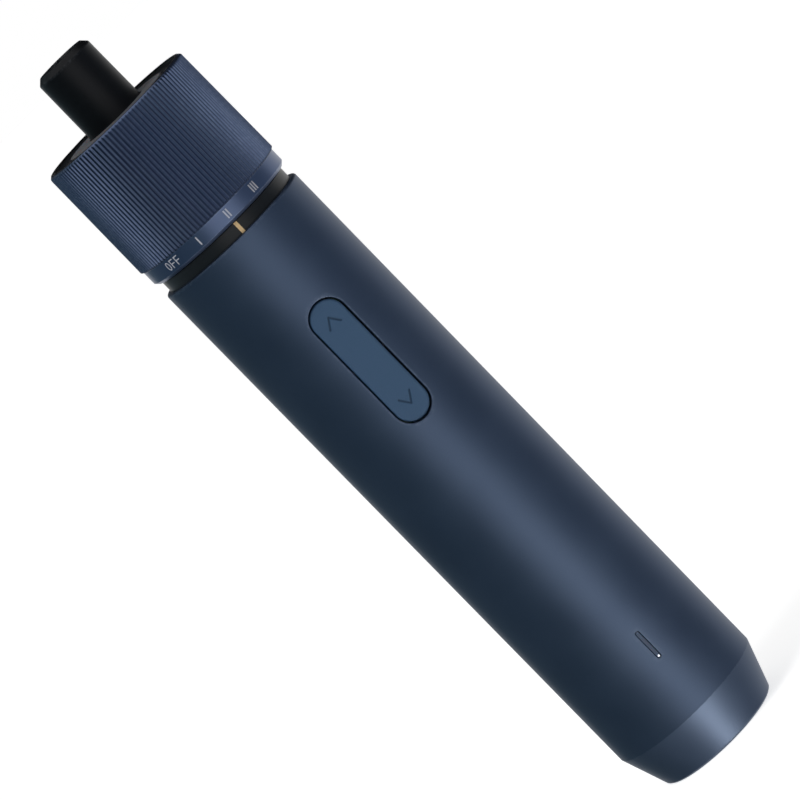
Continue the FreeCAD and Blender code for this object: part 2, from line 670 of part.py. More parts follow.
def bit_holder():
    groove_floor = SHANK_R - CLIP_DEPTH
    groove_z = (CLIP_REAR_Z - CLOSE_GAP, CLIP_FRONT_Z + CLOSE_GAP)
    corners = [(0, OUTPUT_FRONT_Z), (SHANK_R, OUTPUT_FRONT_Z), (SHANK_R, groove_z[0])]
    corners += [(groove_floor, groove_z[0]), (groove_floor, groove_z[1]), (SHANK_R, groove_z[1])]
    corners += [(SHANK_R, NOSE_SHOULDER_Z), (NOSE_BASE_R, NOSE_SHOULDER_Z), (NOSE_BASE_R, CAP_FRONT_Z)]
    corners += [(NOSE_TIP_R, TIP_Z - NOSE_CHAMFER), (NOSE_TIP_R - NOSE_CHAMFER, TIP_Z), (0, TIP_Z)]
    body = turned(corners).fuse(hexagon(DRIVE_FLATS, OUTPUT_REAR_Z, OUTPUT_FRONT_Z + OVERRUN))
    floor = TIP_Z - SOCKET_DEPTH
    socket = hexagon(SOCKET_FLATS, floor, TIP_Z + OVERRUN)
    lead_r = SOCKET_FLATS / math.sqrt(3)
    lead_z = TIP_Z - SOCKET_LEAD
    lead = turned([(0, lead_z), (lead_r - SOCKET_LEAD, lead_z), (lead_r, TIP_Z), (0, TIP_Z)])
    pocket_r = BIT_MAGNET_DIAMETER / 2 + CLOSE_GAP
    pocket = disc(pocket_r, floor - BIT_MAGNET_LENGTH, floor + OVERRUN)
    return body.cut([socket, lead, pocket])


def bit_magnet():
    floor = TIP_Z - SOCKET_DEPTH
    return disc(BIT_MAGNET_DIAMETER / 2, floor - BIT_MAGNET_LENGTH, floor)


def spindle_clip():
    inner = SHANK_R - CLIP_DEPTH + CLOSE_GAP
    clip = tube(inner + CLIP_WIDTH, inner, CLIP_REAR_Z, CLIP_FRONT_Z)
    opening = block((0, inner + CLIP_WIDTH + OVERRUN), centred(CLIP_GAP), (CLIP_REAR_Z, CLIP_FRONT_Z))
    return clip.cut(opening)


def thrust_washer():
    return tube(WASHER_DIAMETER / 2, SHANK_R + RUN_GAP, WASHER_REAR_Z, WASHER_REAR_Z + WASHER_THICKNESS)


# Gear train

def involute(angle):
    """Involute function of a pressure angle in radians."""
    return math.tan(angle) - angle


def gear_face(teeth, tip_r, root_r, thickness):
    """Flat gear face: involute flanks as arcs through three points, a tooth at angle zero."""
    pressure = math.radians(GEAR_PRESSURE_ANGLE)
    pitch_r = GEAR_MODULE * teeth / 2
    base_r = pitch_r * math.cos(pressure)
    start_r = max(base_r, root_r)
    pitch = 2 * math.pi / teeth

    def half_angle(radius):
        return thickness / pitch_r / 2 + involute(pressure) - involute(math.acos(base_r / radius))

    radii = (start_r, (start_r + tip_r) / 2, tip_r)
    angles = [half_angle(radius) for radius in radii]
    edges = []
    for step in range(teeth):
        centre = pitch * step
        rise = [polar(r, centre - a) for r, a in zip(radii, angles)]
        fall = [polar(r, centre + a) for r, a in zip(radii, angles)]
        foot = polar(root_r, centre + angles[0])
        valley = polar(root_r, centre + pitch / 2)
        after = polar(root_r, centre + pitch - angles[0])
        if root_r < start_r:
            edges.append(Part.makeLine(polar(root_r, centre - angles[0]), rise[0]))
        edges.append(Part.Arc(*rise).toShape())
        edges.append(Part.Arc(rise[2], polar(tip_r, centre), fall[2]).toShape())
        edges.append(Part.Arc(fall[2], fall[1], fall[0]).toShape())
        if root_r < start_r:
            edges.append(Part.makeLine(fall[0], foot))
        edges.append(Part.Arc(foot, valley, after).toShape())
    return Part.Face(Part.Wire(edges))


def gear(teeth, start, end, phase):
    """Spur gear along Z turned by a phase in degrees."""
    pitch_r = GEAR_MODULE * teeth / 2
    thickness = math.pi * GEAR_MODULE / 2 - TOOTH_THINNING
    tip_r = pitch_r + ADDENDUM_SHARE * GEAR_MODULE
    root_r = pitch_r - DEDENDUM_SHARE * GEAR_MODULE
    face = gear_face(teeth, tip_r, root_r, thickness)
    face.translate(Vector(0, 0, start))
    return spun(face.extrude(Vector(0, 0, end - start)), phase)


def half_tooth(teeth):
    """Half of a tooth pitch in degrees."""
    return FULL_TURN / teeth / 2


def sun(start, end):
    """Sun gear with a gap toward each planet."""
    return gear(SUN_TEETH, start, end, half_tooth(SUN_TEETH))


def planet(stage, place):
    """One planet, a tooth toward the sun and a gap toward the ring gear."""
    start = PLANET_STARTS[stage]
    end = start + PLANET_WIDTHS[stage]
    wheel = gear(PLANET_TEETH, start, end, half_tooth(PLANET_TEETH))
    wheel = wheel.cut(disc(PIN_R + RUN_GAP, start - OVERRUN, end + OVERRUN))
    wheel.translate(Vector(GEAR_CENTRES, 0, 0))
    return spun(wheel, FULL_TURN * place / PLANET_COUNT)


def carrier_plate(plate_z, thickness, planet_z):
    """Round plate with its three planet pins reaching back."""
    plate = disc(CARRIER_R, plate_z, plate_z + thickness)
    pin = disc(PIN_R, planet_z, plate_z + thickness / 2, GEAR_CENTRES)
    return plate.fuse(around(pin, PLANET_COUNT))


def carrier_1():
    top = CARRIER_1_Z + CARRIER_THICKNESS
    plate = carrier_plate(CARRIER_1_Z, CARRIER_THICKNESS, PLANET_1_Z)
    return plate.fuse(sun(top, PLANET_2_Z + PLANET_WIDTH))


def carrier_2():
    top = CARRIER_2_Z + CARRIER_THICKNESS
    plate = carrier_plate(CARRIER_2_Z, CARRIER_THICKNESS, PLANET_2_Z)
    return plate.fuse(sun(top, PLANET_3_Z + LAST_PLANET_WIDTH))


def output_carrier():
    plate = carrier_plate(OUTPUT_REAR_Z, OUTPUT_THICKNESS, PLANET_3_Z)
    flats = DRIVE_FLATS + 2 * CLOSE_GAP
    return plate.cut(hexagon(flats, OUTPUT_REAR_Z - OVERRUN, OUTPUT_FRONT_Z + OVERRUN))


def motor_pinion():
    body = sun(PLANET_1_Z, PLANET_1_Z + PLANET_WIDTH)
    return body.cut(disc(SHAFT_R + CLOSE_GAP, PLANET_1_Z - OVERRUN, PLANET_1_Z + PLANET_WIDTH + OVERRUN))


def gearbox_housing():
    end = COVER_REAR_Z
    groove_z = (CLAMP_GROOVE_Z, CLAMP_GROOVE_Z + CLAMP_GROOVE_WIDTH)
    groove_r = GEARBOX_R - CLAMP_GROOVE_DEPTH
    corners = [(0, GEARBOX_REAR_Z), (GEARBOX_R, GEARBOX_REAR_Z), (GEARBOX_R, groove_z[0])]
    corners += [(groove_r, groove_z[0]), (groove_r, groove_z[1]), (GEARBOX_R, groove_z[1])]
    corners += [(GEARBOX_R, end), (0, end)]
    pilot = disc(PILOT_R, GEARBOX_REAR_Z - OVERRUN, PLATE_FRONT_Z)
    seat = disc(COVER_SPIGOT_R, end - COVER_SPIGOT, end + OVERRUN)
    space = math.pi * GEAR_MODULE / 2 + TOOTH_THINNING
    teeth = gear_face(RING_TEETH, RING_ROOT_R, RING_TIP_R, space)
    teeth.translate(Vector(0, 0, PLATE_FRONT_Z - OVERRUN))
    cutter = spun(teeth.extrude(Vector(0, 0, end - PLATE_FRONT_Z + OVERRUN)), half_tooth(RING_TEETH))
    return turned(corners).cut([pilot, seat, cutter])


def gearbox_cover():
    spigot_r = COVER_SPIGOT_R - CLOSE_GAP
    spigot_z = COVER_REAR_Z - COVER_SPIGOT + SLIDE_GAP
    bore_r = BUSH_R + CLOSE_GAP
    inner_r = LIP_BORE_R - BOSS_WALL - 2 * SLIDE_GAP
    corners = [(bore_r, BUSH_REAR_Z), (BOSS_R, BUSH_REAR_Z), (BOSS_R, COVER_REAR_Z)]
    corners += [(inner_r, COVER_REAR_Z), (inner_r, spigot_z), (spigot_r, spigot_z)]
    corners += [(spigot_r, COVER_REAR_Z), (GEARBOX_R, COVER_REAR_Z), (GEARBOX_R, COVER_FRONT_Z)]
    corners += [(BOSS_R, COVER_FRONT_Z), (BOSS_R, BOSS_FRONT_Z), (bore_r, BOSS_FRONT_Z)]
    return turned(corners)


def spindle_bush():
    return tube(BUSH_R, BUSH_BORE_R, BUSH_REAR_Z, BOSS_FRONT_Z)


def screw_places():
    """The two motor screw axes in the plate."""
    return [(0, MOTOR_SCREW_PITCH / 2), (0, -MOTOR_SCREW_PITCH / 2)]


def motor_plate():
    start = PLATE_REAR_Z
    end = PLATE_FRONT_Z
    cuts = [disc(SUN_TIP_R + AXIAL_PLAY, start - OVERRUN, end + OVERRUN)]
    for x, y in screw_places():
        cuts.append(disc(MOTOR_SCREW_DIAMETER / 2 + CLOSE_GAP, start - OVERRUN, end + OVERRUN, x, y))
        head_z = end - MOTOR_SCREW_HEAD_DEPTH - CLOSE_GAP
        cuts.append(disc(MOTOR_SCREW_HEAD / 2 + CLOSE_GAP, head_z, end + OVERRUN, x, y))
    return disc(MOTOR_R, start, end).cut(cuts)


def motor_screws():
    screws = []
    for x, y in screw_places():
        head_z = PLATE_FRONT_Z - MOTOR_SCREW_HEAD_DEPTH
        head = disc(MOTOR_SCREW_HEAD / 2, head_z, PLATE_FRONT_Z, x, y)
        shank_z = MOTOR_FRONT_Z - MOTOR_SCREW_REACH
        screws.append(head.fuse(disc(MOTOR_SCREW_DIAMETER / 2, shank_z, PLATE_FRONT_Z, x, y)))
    return Part.makeCompound(screws)


# Motor

def motor_can():
    boss_r = MOTOR_BOSS_DIAMETER / 2
    wall_z = MOTOR_FRONT_Z - MOTOR_FRONT_WALL
    bore_r = SHAFT_R + RUN_GAP
    corners = [(CAN_BORE_R, CAN_REAR_Z), (MOTOR_R, CAN_REAR_Z), (MOTOR_R, MOTOR_FRONT_Z)]
    corners += [(boss_r, MOTOR_FRONT_Z), (boss_r, MOTOR_FRONT_Z + MOTOR_BOSS_LENGTH)]
    corners += [(bore_r, MOTOR_FRONT_Z + MOTOR_BOSS_LENGTH), (bore_r, wall_z), (CAN_BORE_R, wall_z)]
    holes = []
    for x, y in screw_places():
        hole_r = MOTOR_SCREW_DIAMETER / 2 + CLOSE_GAP
        holes.append(disc(hole_r, wall_z - OVERRUN, MOTOR_FRONT_Z + OVERRUN, x, y))
    return turned(corners).cut(holes)


def magnet_start():
    """Rear end of the motor magnets, centred on the rotor core."""
    return core_start() - (MAGNET_LENGTH - CORE_LENGTH) / 2


def core_start():
    """Rear end of the rotor core, centred in the can."""
    return (CAN_REAR_Z + MOTOR_FRONT_Z - MOTOR_FRONT_WALL - CORE_LENGTH) / 2


def core_radius():
    """Outside radius of the rotor core."""
    return CAN_BORE_R - CLOSE_GAP - MAGNET_THICKNESS - AIR_GAP


def motor_magnets():
    outer = CAN_BORE_R - CLOSE_GAP
    start = magnet_start()
    magnets = []
    for middle in (0, HALF_TURN):
        inner = outer - MAGNET_THICKNESS
        magnets.append(sector(outer, inner, start, start + MAGNET_LENGTH, MAGNET_SPAN, middle))
    return Part.makeCompound(magnets)


def motor_end_cap():
    spigot_r = CAN_BORE_R - CLOSE_GAP
    bore_r = SHAFT_R + RUN_GAP
    floor = MOTOR_REAR_Z + END_CAP_FLOOR
    spigot_z = CAN_REAR_Z + BRUSH_HEIGHT / 2
    inner_r = spigot_r - MOTOR_WALL
    corners = [(bore_r, MOTOR_REAR_Z), (MOTOR_R, MOTOR_REAR_Z), (MOTOR_R, CAN_REAR_Z)]
    corners += [(spigot_r, CAN_REAR_Z), (spigot_r, spigot_z), (inner_r, spigot_z)]
    corners += [(inner_r, CAN_REAR_Z), (COMMUTATOR_DIAMETER / 2, CAN_REAR_Z)]
    corners += [(COMMUTATOR_DIAMETER / 2, floor), (bore_r, floor)]
    return turned(corners)


def motor_brushes():
    inner = COMMUTATOR_DIAMETER / 2 + CLOSE_GAP
    heights = (CAN_REAR_Z + CLOSE_GAP, CAN_REAR_Z + BRUSH_HEIGHT)
    brush = block((inner, inner + BRUSH_LENGTH), centred(BRUSH_WIDTH), heights)
    return Part.makeCompound(around(brush, 2))


def motor_leads():
    """Two wires from the end cap to the main board, each with one round bend."""
    radius = LEAD_DIAMETER / 2
    top = MOTOR_REAR_Z - CLOSE_GAP
    bend_z = BOARD_END_Z
    leads = []
    for x in centred(LEAD_SPACING):
        straight = disc(radius, bend_z, top, x, LEAD_Y)
        section = Part.Face(Part.Wire(Part.makeCircle(radius, Vector(x, LEAD_Y, bend_z), Z_AXIS)))
        bend = section.revolve(Vector(0, BOARD_BACK_Y, bend_z), X_AXIS, -QUARTER_TURN)
        leads.append(straight.fuse(bend))
    return Part.makeCompound(leads)


def motor_shaft():
    return disc(SHAFT_R, MOTOR_REAR_Z - SHAFT_TAIL, PLANET_1_Z + PLANET_WIDTH)


def rotor_core():
    start = core_start()
    end = start + CORE_LENGTH
    outer = core_radius()
    shoe_r = outer - CORE_SHOE_THICKNESS
    arm = block((0, outer - CORE_SHOE_THICKNESS / 2), centred(CORE_ARM_WIDTH), (start, end))
    shoe = sector(outer, shoe_r, start, end, CORE_SHOE_SPAN, 0)
    body = disc(CORE_HUB_DIAMETER / 2, start, end)
    body = body.fuse(around(arm, CORE_POLES) + around(shoe, CORE_POLES))
    return body.cut(disc(SHAFT_R + CLOSE_GAP, start - OVERRUN, end + OVERRUN))


def rotor_windings():
    start = core_start() - COIL_ROOM
    end = start + CORE_LENGTH + 2 * COIL_ROOM
    inner = CORE_HUB_DIAMETER / 2 + COIL_THICKNESS
    width = CORE_ARM_WIDTH + 2 * COIL_ROOM
    full = width + 2 * COIL_THICKNESS
    shoe_r = core_radius() - CORE_SHOE_THICKNESS
    outer = math.sqrt(shoe_r ** 2 - (full / 2) ** 2) - COIL_ROOM
    coil = block((inner, outer), centred(full), (start - COIL_THICKNESS, end + COIL_THICKNESS))
    window = block((0, outer + OVERRUN), centred(width), (start, end))
    return Part.makeCompound(around(coil.cut(window), CORE_POLES))


def commutator():
    start = MOTOR_REAR_Z + END_CAP_FLOOR + AXIAL_PLAY + CLOSE_GAP
    end = CAN_REAR_Z + COMMUTATOR_LENGTH
    outer = COMMUTATOR_DIAMETER / 2
    neck_r = outer - AXIAL_PLAY
    corners = [(SHAFT_R + CLOSE_GAP, start), (neck_r, start), (neck_r, CAN_REAR_Z + CLOSE_GAP)]
    corners += [(outer, CAN_REAR_Z + CLOSE_GAP), (outer, end), (SHAFT_R + CLOSE_GAP, end)]
    return turned(corners)


# Battery, boards and charging inlet

def battery_cell():
    end = CELL_START + CELL_LENGTH
    shoulder = end - CELL_CAP_HEIGHT
    corners = [(0, CELL_START), (CELL_R - CELL_EDGE, CELL_START), (CELL_R, CELL_START + CELL_EDGE)]
    corners += [(CELL_R, shoulder - CELL_EDGE), (CELL_R - CELL_EDGE, shoulder)]
    corners += [(CELL_CAP_DIAMETER / 2, shoulder), (CELL_CAP_DIAMETER / 2, end), (0, end)]
    cell = turned(corners)
    cell.translate(Vector(0, CELL_Y, 0))
    return cell


def battery_tabs():
    depths = (BOARD_BACK_Y, CELL_Y + TAB_WIDTH / 2)
    end = CELL_START + CELL_LENGTH
    rear = block(centred(TAB_WIDTH), depths, (CELL_START - TAB_THICKNESS, CELL_START))
    front = block(centred(TAB_WIDTH), depths, (end, end + TAB_THICKNESS))
    return Part.makeCompound([rear, front])


def main_board():
    return block(centred(BOARD_WIDTH), (BOARD_FACE_Y, BOARD_BACK_Y), (FRAME_START_Z + SLIDE_GAP, BOARD_END_Z))


def board_parts():
    depths = (BOARD_FACE_Y - CHIP_HEIGHT, BOARD_FACE_Y)
    span = SWITCH_PIN_Z - FRAME_START_Z
    chip_z = FRAME_START_Z + span * CONTROLLER_AT_SHARE
    power_z = FRAME_START_Z + span * TRANSISTOR_AT_SHARE
    parts = [block(centred(CONTROLLER_SIZE), depths, centred(CONTROLLER_SIZE, chip_z))]
    for x in centred(2 * TRANSISTOR_WIDTH - BOARD_THICKNESS):
        place = centred(TRANSISTOR_WIDTH - 2 * BOARD_THICKNESS, x)
        parts.append(block(place, depths, centred(TRANSISTOR_LENGTH, power_z)))
    lamp_y = (LAMP_CHIP_TOP_Y, BOARD_FACE_Y)
    lamp_z = centred(LAMP_CHIP_LENGTH, LAMP_SLOT_START + LAMP_CHIP_LENGTH)
    parts.append(block(centred(LAMP_CHIP_WIDTH), lamp_y, lamp_z))
    return Part.makeCompound(parts)


def pin_row(y_span, middle_z):
    """Square board-to-board pins in one row across the tool."""
    first = -PIN_PITCH * (PIN_COUNT - 1) / 2
    pins = []
    for step in range(PIN_COUNT):
        x_span = centred(PIN_SIDE, first + PIN_PITCH * step)
        pins.append(block(x_span, y_span, centred(PIN_SIDE, middle_z)))
    return pins


def board_pins():
    charge = pin_row((BOARD_BACK_Y, CHARGE_FACE_Y), CHARGE_END - CHARGE_PIN_FROM_END)
    switch = pin_row((SWITCH_BOARD_BACK_Y, BOARD_FACE_Y), SWITCH_PIN_Z)
    return Part.makeCompound(charge + switch)


def charge_board():
    return block(centred(CHARGE_WIDTH), (CHARGE_FACE_Y, CHARGE_BACK_Y), (CHARGE_START, CHARGE_END))


def usb_socket():
    shell = slot_z(USB_WIDTH, USB_HEIGHT, USB_FRONT_Z, USB_BACK_Z)
    width = USB_WIDTH - 2 * USB_SHEET
    height = USB_HEIGHT - 2 * USB_SHEET
    return shell.cut(slot_z(width, height, USB_FRONT_Z - OVERRUN, USB_BACK_Z - USB_BACK))


def usb_tongue():
    heights = (USB_FRONT_Z + TONGUE_SET_BACK, USB_BACK_Z - USB_BACK)
    return block(centred(TONGUE_WIDTH), centred(TONGUE_THICKNESS), heights)


def indicator_lens():
    inner_y = LAMP_CHIP_TOP_Y - LAMP_CHIP_GAP
    width = LAMP_SLOT_WIDTH - 2 * SLIDE_GAP
    length = LAMP_SLOT_LENGTH - 2 * SLIDE_GAP
    bar = slot_y(width, length, LAMP_MID_Z, -BODY_R - OVERRUN, inner_y)
    flange_y = -BORE_R + AXIAL_PLAY
    flange_end = flange_y + LAMP_FLANGE_THICKNESS
    flange_width = width + 2 * LAMP_FLANGE
    flange_length = length + 2 * LAMP_FLANGE
    rim = slot_y(flange_width, flange_length, LAMP_MID_Z, flange_y, flange_end)
    start = LAMP_SLOT_START - OVERRUN
    face = disc(BODY_R - LAMP_BELOW_FACE, start, start + LAMP_SLOT_LENGTH + 2 * OVERRUN)
    return bar.fuse(rim).common(face)


# Thumb button

def rocker_button():
    cap = slot_y(BUTTON_WIDTH, BUTTON_LENGTH, BUTTON_MID_Z, BUTTON_FACE_Y, BUTTON_BACK_Y)
    rim = [edge for edge in cap.Edges if edge.BoundBox.YMax < BUTTON_FACE_Y + CLOSE_GAP]
    cap = cap.makeChamfer(BUTTON_EDGE, rim)
    hook_y = (BUTTON_FACE_Y + BUTTON_HOOK_TOP, BUTTON_FACE_Y + BUTTON_HOOK_BOTTOM)
    half = BUTTON_LENGTH / 2
    root_y = BUTTON_BACK_Y - BUTTON_EDGE
    lug_width = BUTTON_WIDTH - 2 * BUTTON_EDGE
    lug_z = centred(AXLE_LUG_DIAMETER, BUTTON_MID_Z)
    extras = [bar_x(AXLE_LUG_DIAMETER / 2, lug_width, AXLE_Y, BUTTON_MID_Z)]
    extras.append(block(centred(lug_width), (root_y, AXLE_Y), lug_z))
    for side in (-1, 1):
        pad_z = BUTTON_MID_Z + side * SWITCH_SPREAD / 2
        extras.append(bar_y(BUTTON_PAD_DIAMETER / 2, root_y, BUTTON_PAD_Y, 0, pad_z))
        inset = half - BUTTON_HOOK_ROOT / 2
        root_z = centred(BUTTON_HOOK_ROOT, BUTTON_MID_Z + side * (inset - BUTTON_EDGE))
        extras.append(block(centred(BUTTON_HOOK_WIDTH), (root_y, hook_y[1]), root_z))
        hook_z = centred(BUTTON_HOOK_ROOT, BUTTON_MID_Z + side * (inset + BUTTON_HOOK_REACH))
        extras.append(block(centred(BUTTON_HOOK_WIDTH), hook_y, hook_z))
    return cap.fuse(extras).cut(bar_x(AXLE_R + RUN_GAP, AXLE_LENGTH, AXLE_Y, BUTTON_MID_Z))


def rocker_axle():
    return bar_x(AXLE_R, AXLE_LENGTH, AXLE_Y, BUTTON_MID_Z)


def switch_board():
    depths = (SWITCH_BOARD_FACE_Y, SWITCH_BOARD_BACK_Y)
    return block(centred(SWITCH_BOARD_WIDTH), depths, (SWITCH_BOARD_START, SWITCH_BOARD_END))


def tact_switches():
    switches = []
    for place in centred(SWITCH_SPREAD, BUTTON_MID_Z):
        base = block(centred(SWITCH_SIZE), (SWITCH_TOP_Y, SWITCH_BOARD_FACE_Y), centred(SWITCH_SIZE, place))
        switches.append(base.fuse(bar_y(PLUNGER_DIAMETER / 2, PLUNGER_TOP_Y, SWITCH_TOP_Y, 0, place)))
    return Part.makeCompound(switches)


# Inner frame

def frame_rib(height, hole):
    """Cross wall of the frame with a hole in it."""
    return disc(FRAME_BORE_R + CLOSE_GAP, height, height + FRAME_RIB).cut(hole)


def screw_axes():
    """Places (x, z) of the four frame screws."""
    return [(x, z) for z in SCREW_HEIGHTS for x in centred(SCREW_SPACING)]


def whole_frame():
    """Both frame halves before they are parted."""
    body = tube(FRAME_R, FRAME_BORE_R, FRAME_START_Z, FRAME_END_Z)
    cell_hole = disc(CELL_R + CLOSE_GAP, FRAME_START_Z, FRAME_END_Z, 0, CELL_Y)
    motor_hole = disc(PILOT_R, FRAME_START_Z, FRAME_END_Z)
    groove_hole = disc(GEARBOX_R - CLAMP_GROOVE_DEPTH + CLOSE_GAP, FRAME_START_Z, FRAME_END_Z)
    ribs = [frame_rib(height, cell_hole) for height in FRAME_RIB_HEIGHTS]
    ribs.append(frame_rib(FRAME_MOTOR_RIB, motor_hole))
    clamp_z = (CLAMP_GROOVE_Z + CLOSE_GAP, CLAMP_GROOVE_Z + CLAMP_GROOVE_WIDTH - CLOSE_GAP)
    clamp = disc(FRAME_BORE_R + CLOSE_GAP, clamp_z[0], clamp_z[1]).cut(groove_hole)
    posts = []
    inside = disc(FRAME_BORE_R + CLOSE_GAP, FRAME_START_Z, FRAME_END_Z)
    for x, z in screw_axes():
        posts.append(bar_y(SCREW_POST_DIAMETER / 2, -FRAME_R, FRAME_R, x, z).common(inside))
    return body.fuse(ribs + [clamp] + posts)


def frame_cuts():
    """Openings for the boards, lamp bar, button, axle and screws."""
    chip_y = BOARD_FACE_Y - CHIP_HEIGHT - AXIAL_PLAY
    board_z = (FRAME_START_Z, BOARD_END_Z + SLIDE_GAP)
    board_y = (BOARD_FACE_Y - CLOSE_GAP, BOARD_BACK_Y + CLOSE_GAP)
    cuts = [block(centred(BOARD_WIDTH + 2 * CLOSE_GAP), board_y, board_z)]
    cuts.append(block(centred(BOARD_WIDTH - 2 * SCREW_DIAMETER), (chip_y, CELL_Y - CELL_R), board_z))
    tab_end = CELL_START + CELL_LENGTH + TAB_THICKNESS
    cuts.append(block(centred(TAB_WIDTH + 2 * SLIDE_GAP), (BOARD_BACK_Y, CELL_Y), (CELL_START, tab_end)))
    lamp_width = LAMP_SLOT_WIDTH + 2 * LAMP_FLANGE
    lamp_length = LAMP_SLOT_LENGTH + 2 * LAMP_FLANGE
    cuts.append(slot_y(lamp_width, lamp_length, LAMP_MID_Z, -BODY_R, BOARD_FACE_Y))
    window_z = centred(BUTTON_LENGTH + 2 * FRAME_WINDOW_END, BUTTON_MID_Z)
    window_x = centred(BUTTON_WIDTH + 2 * FRAME_WINDOW_SIDE)
    cuts.append(block(window_x, (-BODY_R, SWITCH_BOARD_FACE_Y), window_z))
    switch_x = centred(SWITCH_BOARD_WIDTH + 2 * CLOSE_GAP)
    switch_y = (SWITCH_BOARD_FACE_Y - CLOSE_GAP, SWITCH_BOARD_BACK_Y + CLOSE_GAP)
    cuts.append(block(switch_x, switch_y, (SWITCH_BOARD_START - CLOSE_GAP, SWITCH_BOARD_END + CLOSE_GAP)))
    cuts.append(bar_x(AXLE_R + CLOSE_GAP, AXLE_LENGTH + 2 * CLOSE_GAP, AXLE_Y, BUTTON_MID_Z))
    for x, z in screw_axes():
        hole_end = -SCREW_FRONT_REACH - CLOSE_GAP
        cuts.append(bar_y(SCREW_DIAMETER / 2 + CLOSE_GAP, hole_end, SCREW_HEAD_SEAT, x, z))
        cuts.append(bar_y(SCREW_HEAD_DIAMETER / 2 + CLOSE_GAP, SCREW_HEAD_SEAT, BODY_R, x, z))
    return cuts


def frame_halves():
    """The front (button side) and rear halves of the inner frame."""
    whole = whole_frame().cut(frame_cuts())
    x_span = centred(BODY_DIAMETER)
    z_span = (FRAME_START_Z - OVERRUN, FRAME_END_Z + OVERRUN)
    front = whole.common(block(x_span, (-BODY_R, -FRAME_SPLIT_GAP / 2), z_span))
    rear = whole.common(block(x_span, (FRAME_SPLIT_GAP / 2, BODY_R), z_span))
    return front, rear


def frame_screws():
    screws = []
    for x, z in screw_axes():
        head = bar_y(SCREW_HEAD_DIAMETER / 2, SCREW_HEAD_SEAT, SCREW_HEAD_SEAT + SCREW_HEAD_HEIGHT, x, z)
        screws.append(head.fuse(bar_y(SCREW_DIAMETER / 2, -SCREW_FRONT_REACH, SCREW_HEAD_SEAT, x, z)))
    return Part.makeCompound(screws)


def all_pieces():
    """Every piece of the tool by node name."""
    makers = [sleeve, tail_cap, front_housing, index_mark, front_cap, light_ring, light_board, light_leds]
    makers += [torque_ring, ring_liner, ring_magnet, sensor_strip, drag_ring]
    makers += [bit_holder, bit_magnet, spindle_clip, thrust_washer, spindle_bush]
    makers += [carrier_1, carrier_2, output_carrier, motor_pinion, gearbox_housing, gearbox_cover]
    makers += [motor_plate, motor_screws, motor_can, motor_magnets, motor_end_cap, motor_brushes, motor_leads]
    makers += [motor_shaft, rotor_core, rotor_windings, commutator]
    makers += [battery_cell, battery_tabs, main_board, board_parts, board_pins, charge_board]
    makers += [usb_socket, usb_tongue, indicator_lens]
    makers += [rocker_button, rocker_axle, switch_board, tact_switches, frame_screws]
    pieces = {maker.__name__: maker() for maker in makers}
    pieces["frame_front"], pieces["frame_rear"] = frame_halves()
    for stage in range(len(PLANET_STARTS)):
        for place in range(PLANET_COUNT):
            pieces["planet_%d_%d" % (stage + 1, place + 1)] = planet(stage, place)
    return pieces


def main():
    os.makedirs("parts", exist_ok=True)
    for name, shape in all_pieces().items():
        shape.exportStep("parts/%s.step" % name)
        print(name, len(shape.Solids), round(shape.Volume), shape.isValid())


main()
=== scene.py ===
# %% [markdown]
# # A straight cordless screwdriver, dressed for its picture
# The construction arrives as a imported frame: sixty named pieces, each riding on the body that carries
# it. This lesson gives those pieces their looks. The outside pieces are drawn again as fine surfaces,
# because a picture lives on rounded edges, and the inside pieces keep their solids and get a finish.
# Everything is in metres in the frame's own axes: Z runs from the tail to the bit socket, and the thumb
# button faces -Y.

# %% Load the frame
import json
import math

import bmesh
import bpy
import numpy as np
from mathutils import Matrix, Vector


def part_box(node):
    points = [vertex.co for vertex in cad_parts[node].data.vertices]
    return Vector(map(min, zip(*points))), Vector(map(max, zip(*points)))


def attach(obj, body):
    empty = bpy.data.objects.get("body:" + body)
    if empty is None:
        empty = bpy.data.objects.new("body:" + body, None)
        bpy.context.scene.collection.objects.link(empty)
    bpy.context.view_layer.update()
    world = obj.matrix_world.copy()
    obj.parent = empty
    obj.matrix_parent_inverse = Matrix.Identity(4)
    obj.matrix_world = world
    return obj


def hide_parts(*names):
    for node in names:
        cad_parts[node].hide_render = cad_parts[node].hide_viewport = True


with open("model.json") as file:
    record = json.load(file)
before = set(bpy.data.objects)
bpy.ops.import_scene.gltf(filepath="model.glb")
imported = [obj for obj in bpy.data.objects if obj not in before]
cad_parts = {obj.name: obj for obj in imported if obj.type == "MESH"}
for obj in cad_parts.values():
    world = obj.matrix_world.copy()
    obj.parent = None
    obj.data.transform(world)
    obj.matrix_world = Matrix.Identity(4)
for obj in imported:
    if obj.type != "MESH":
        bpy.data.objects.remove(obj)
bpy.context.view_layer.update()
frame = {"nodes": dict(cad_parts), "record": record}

# %% [markdown]
# ## Sizes
# The main sizes are read from the frame, so the looks follow the construction. What a box can't tell,
# such as a wall or a chamfer, is a named size in millimetres.

# %% Sizes from the frame and by name
MM = 0.001
TURN = 2 * math.pi


def low_high(node):
    """Lowest and highest corner of a frame node as two rows of an array."""
    return np.array(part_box(node))


SLEEVE_WALL = 1.6 * MM
BODY_R = low_high("sleeve")[1, 0]
BODY_TOP = low_high("sleeve")[1, 2]
BORE_R = BODY_R - SLEEVE_WALL
RING_REAR, RING_FRONT = low_high("torque_ring")[:, 2]
TIP = low_high("bit_holder")[1, 2]
FACE_FRONT = low_high("light_ring")[1, 2]
print(f"body {2 * BODY_R / MM:.1f} mm across, {BODY_TOP / MM:.1f} mm to the neck, tip at {TIP / MM:.1f} mm")

# %% [markdown]
# ## Surfaces from grids
# Every new piece is a grid of points with four-sided faces between neighbours. A grid can close on itself
# in one direction, like a tube, or in both, like a ring. Rounded corners are true arcs, and a holding row
# on each side of an arc keeps the smooth shading of a small edge from washing over the flat beside it.

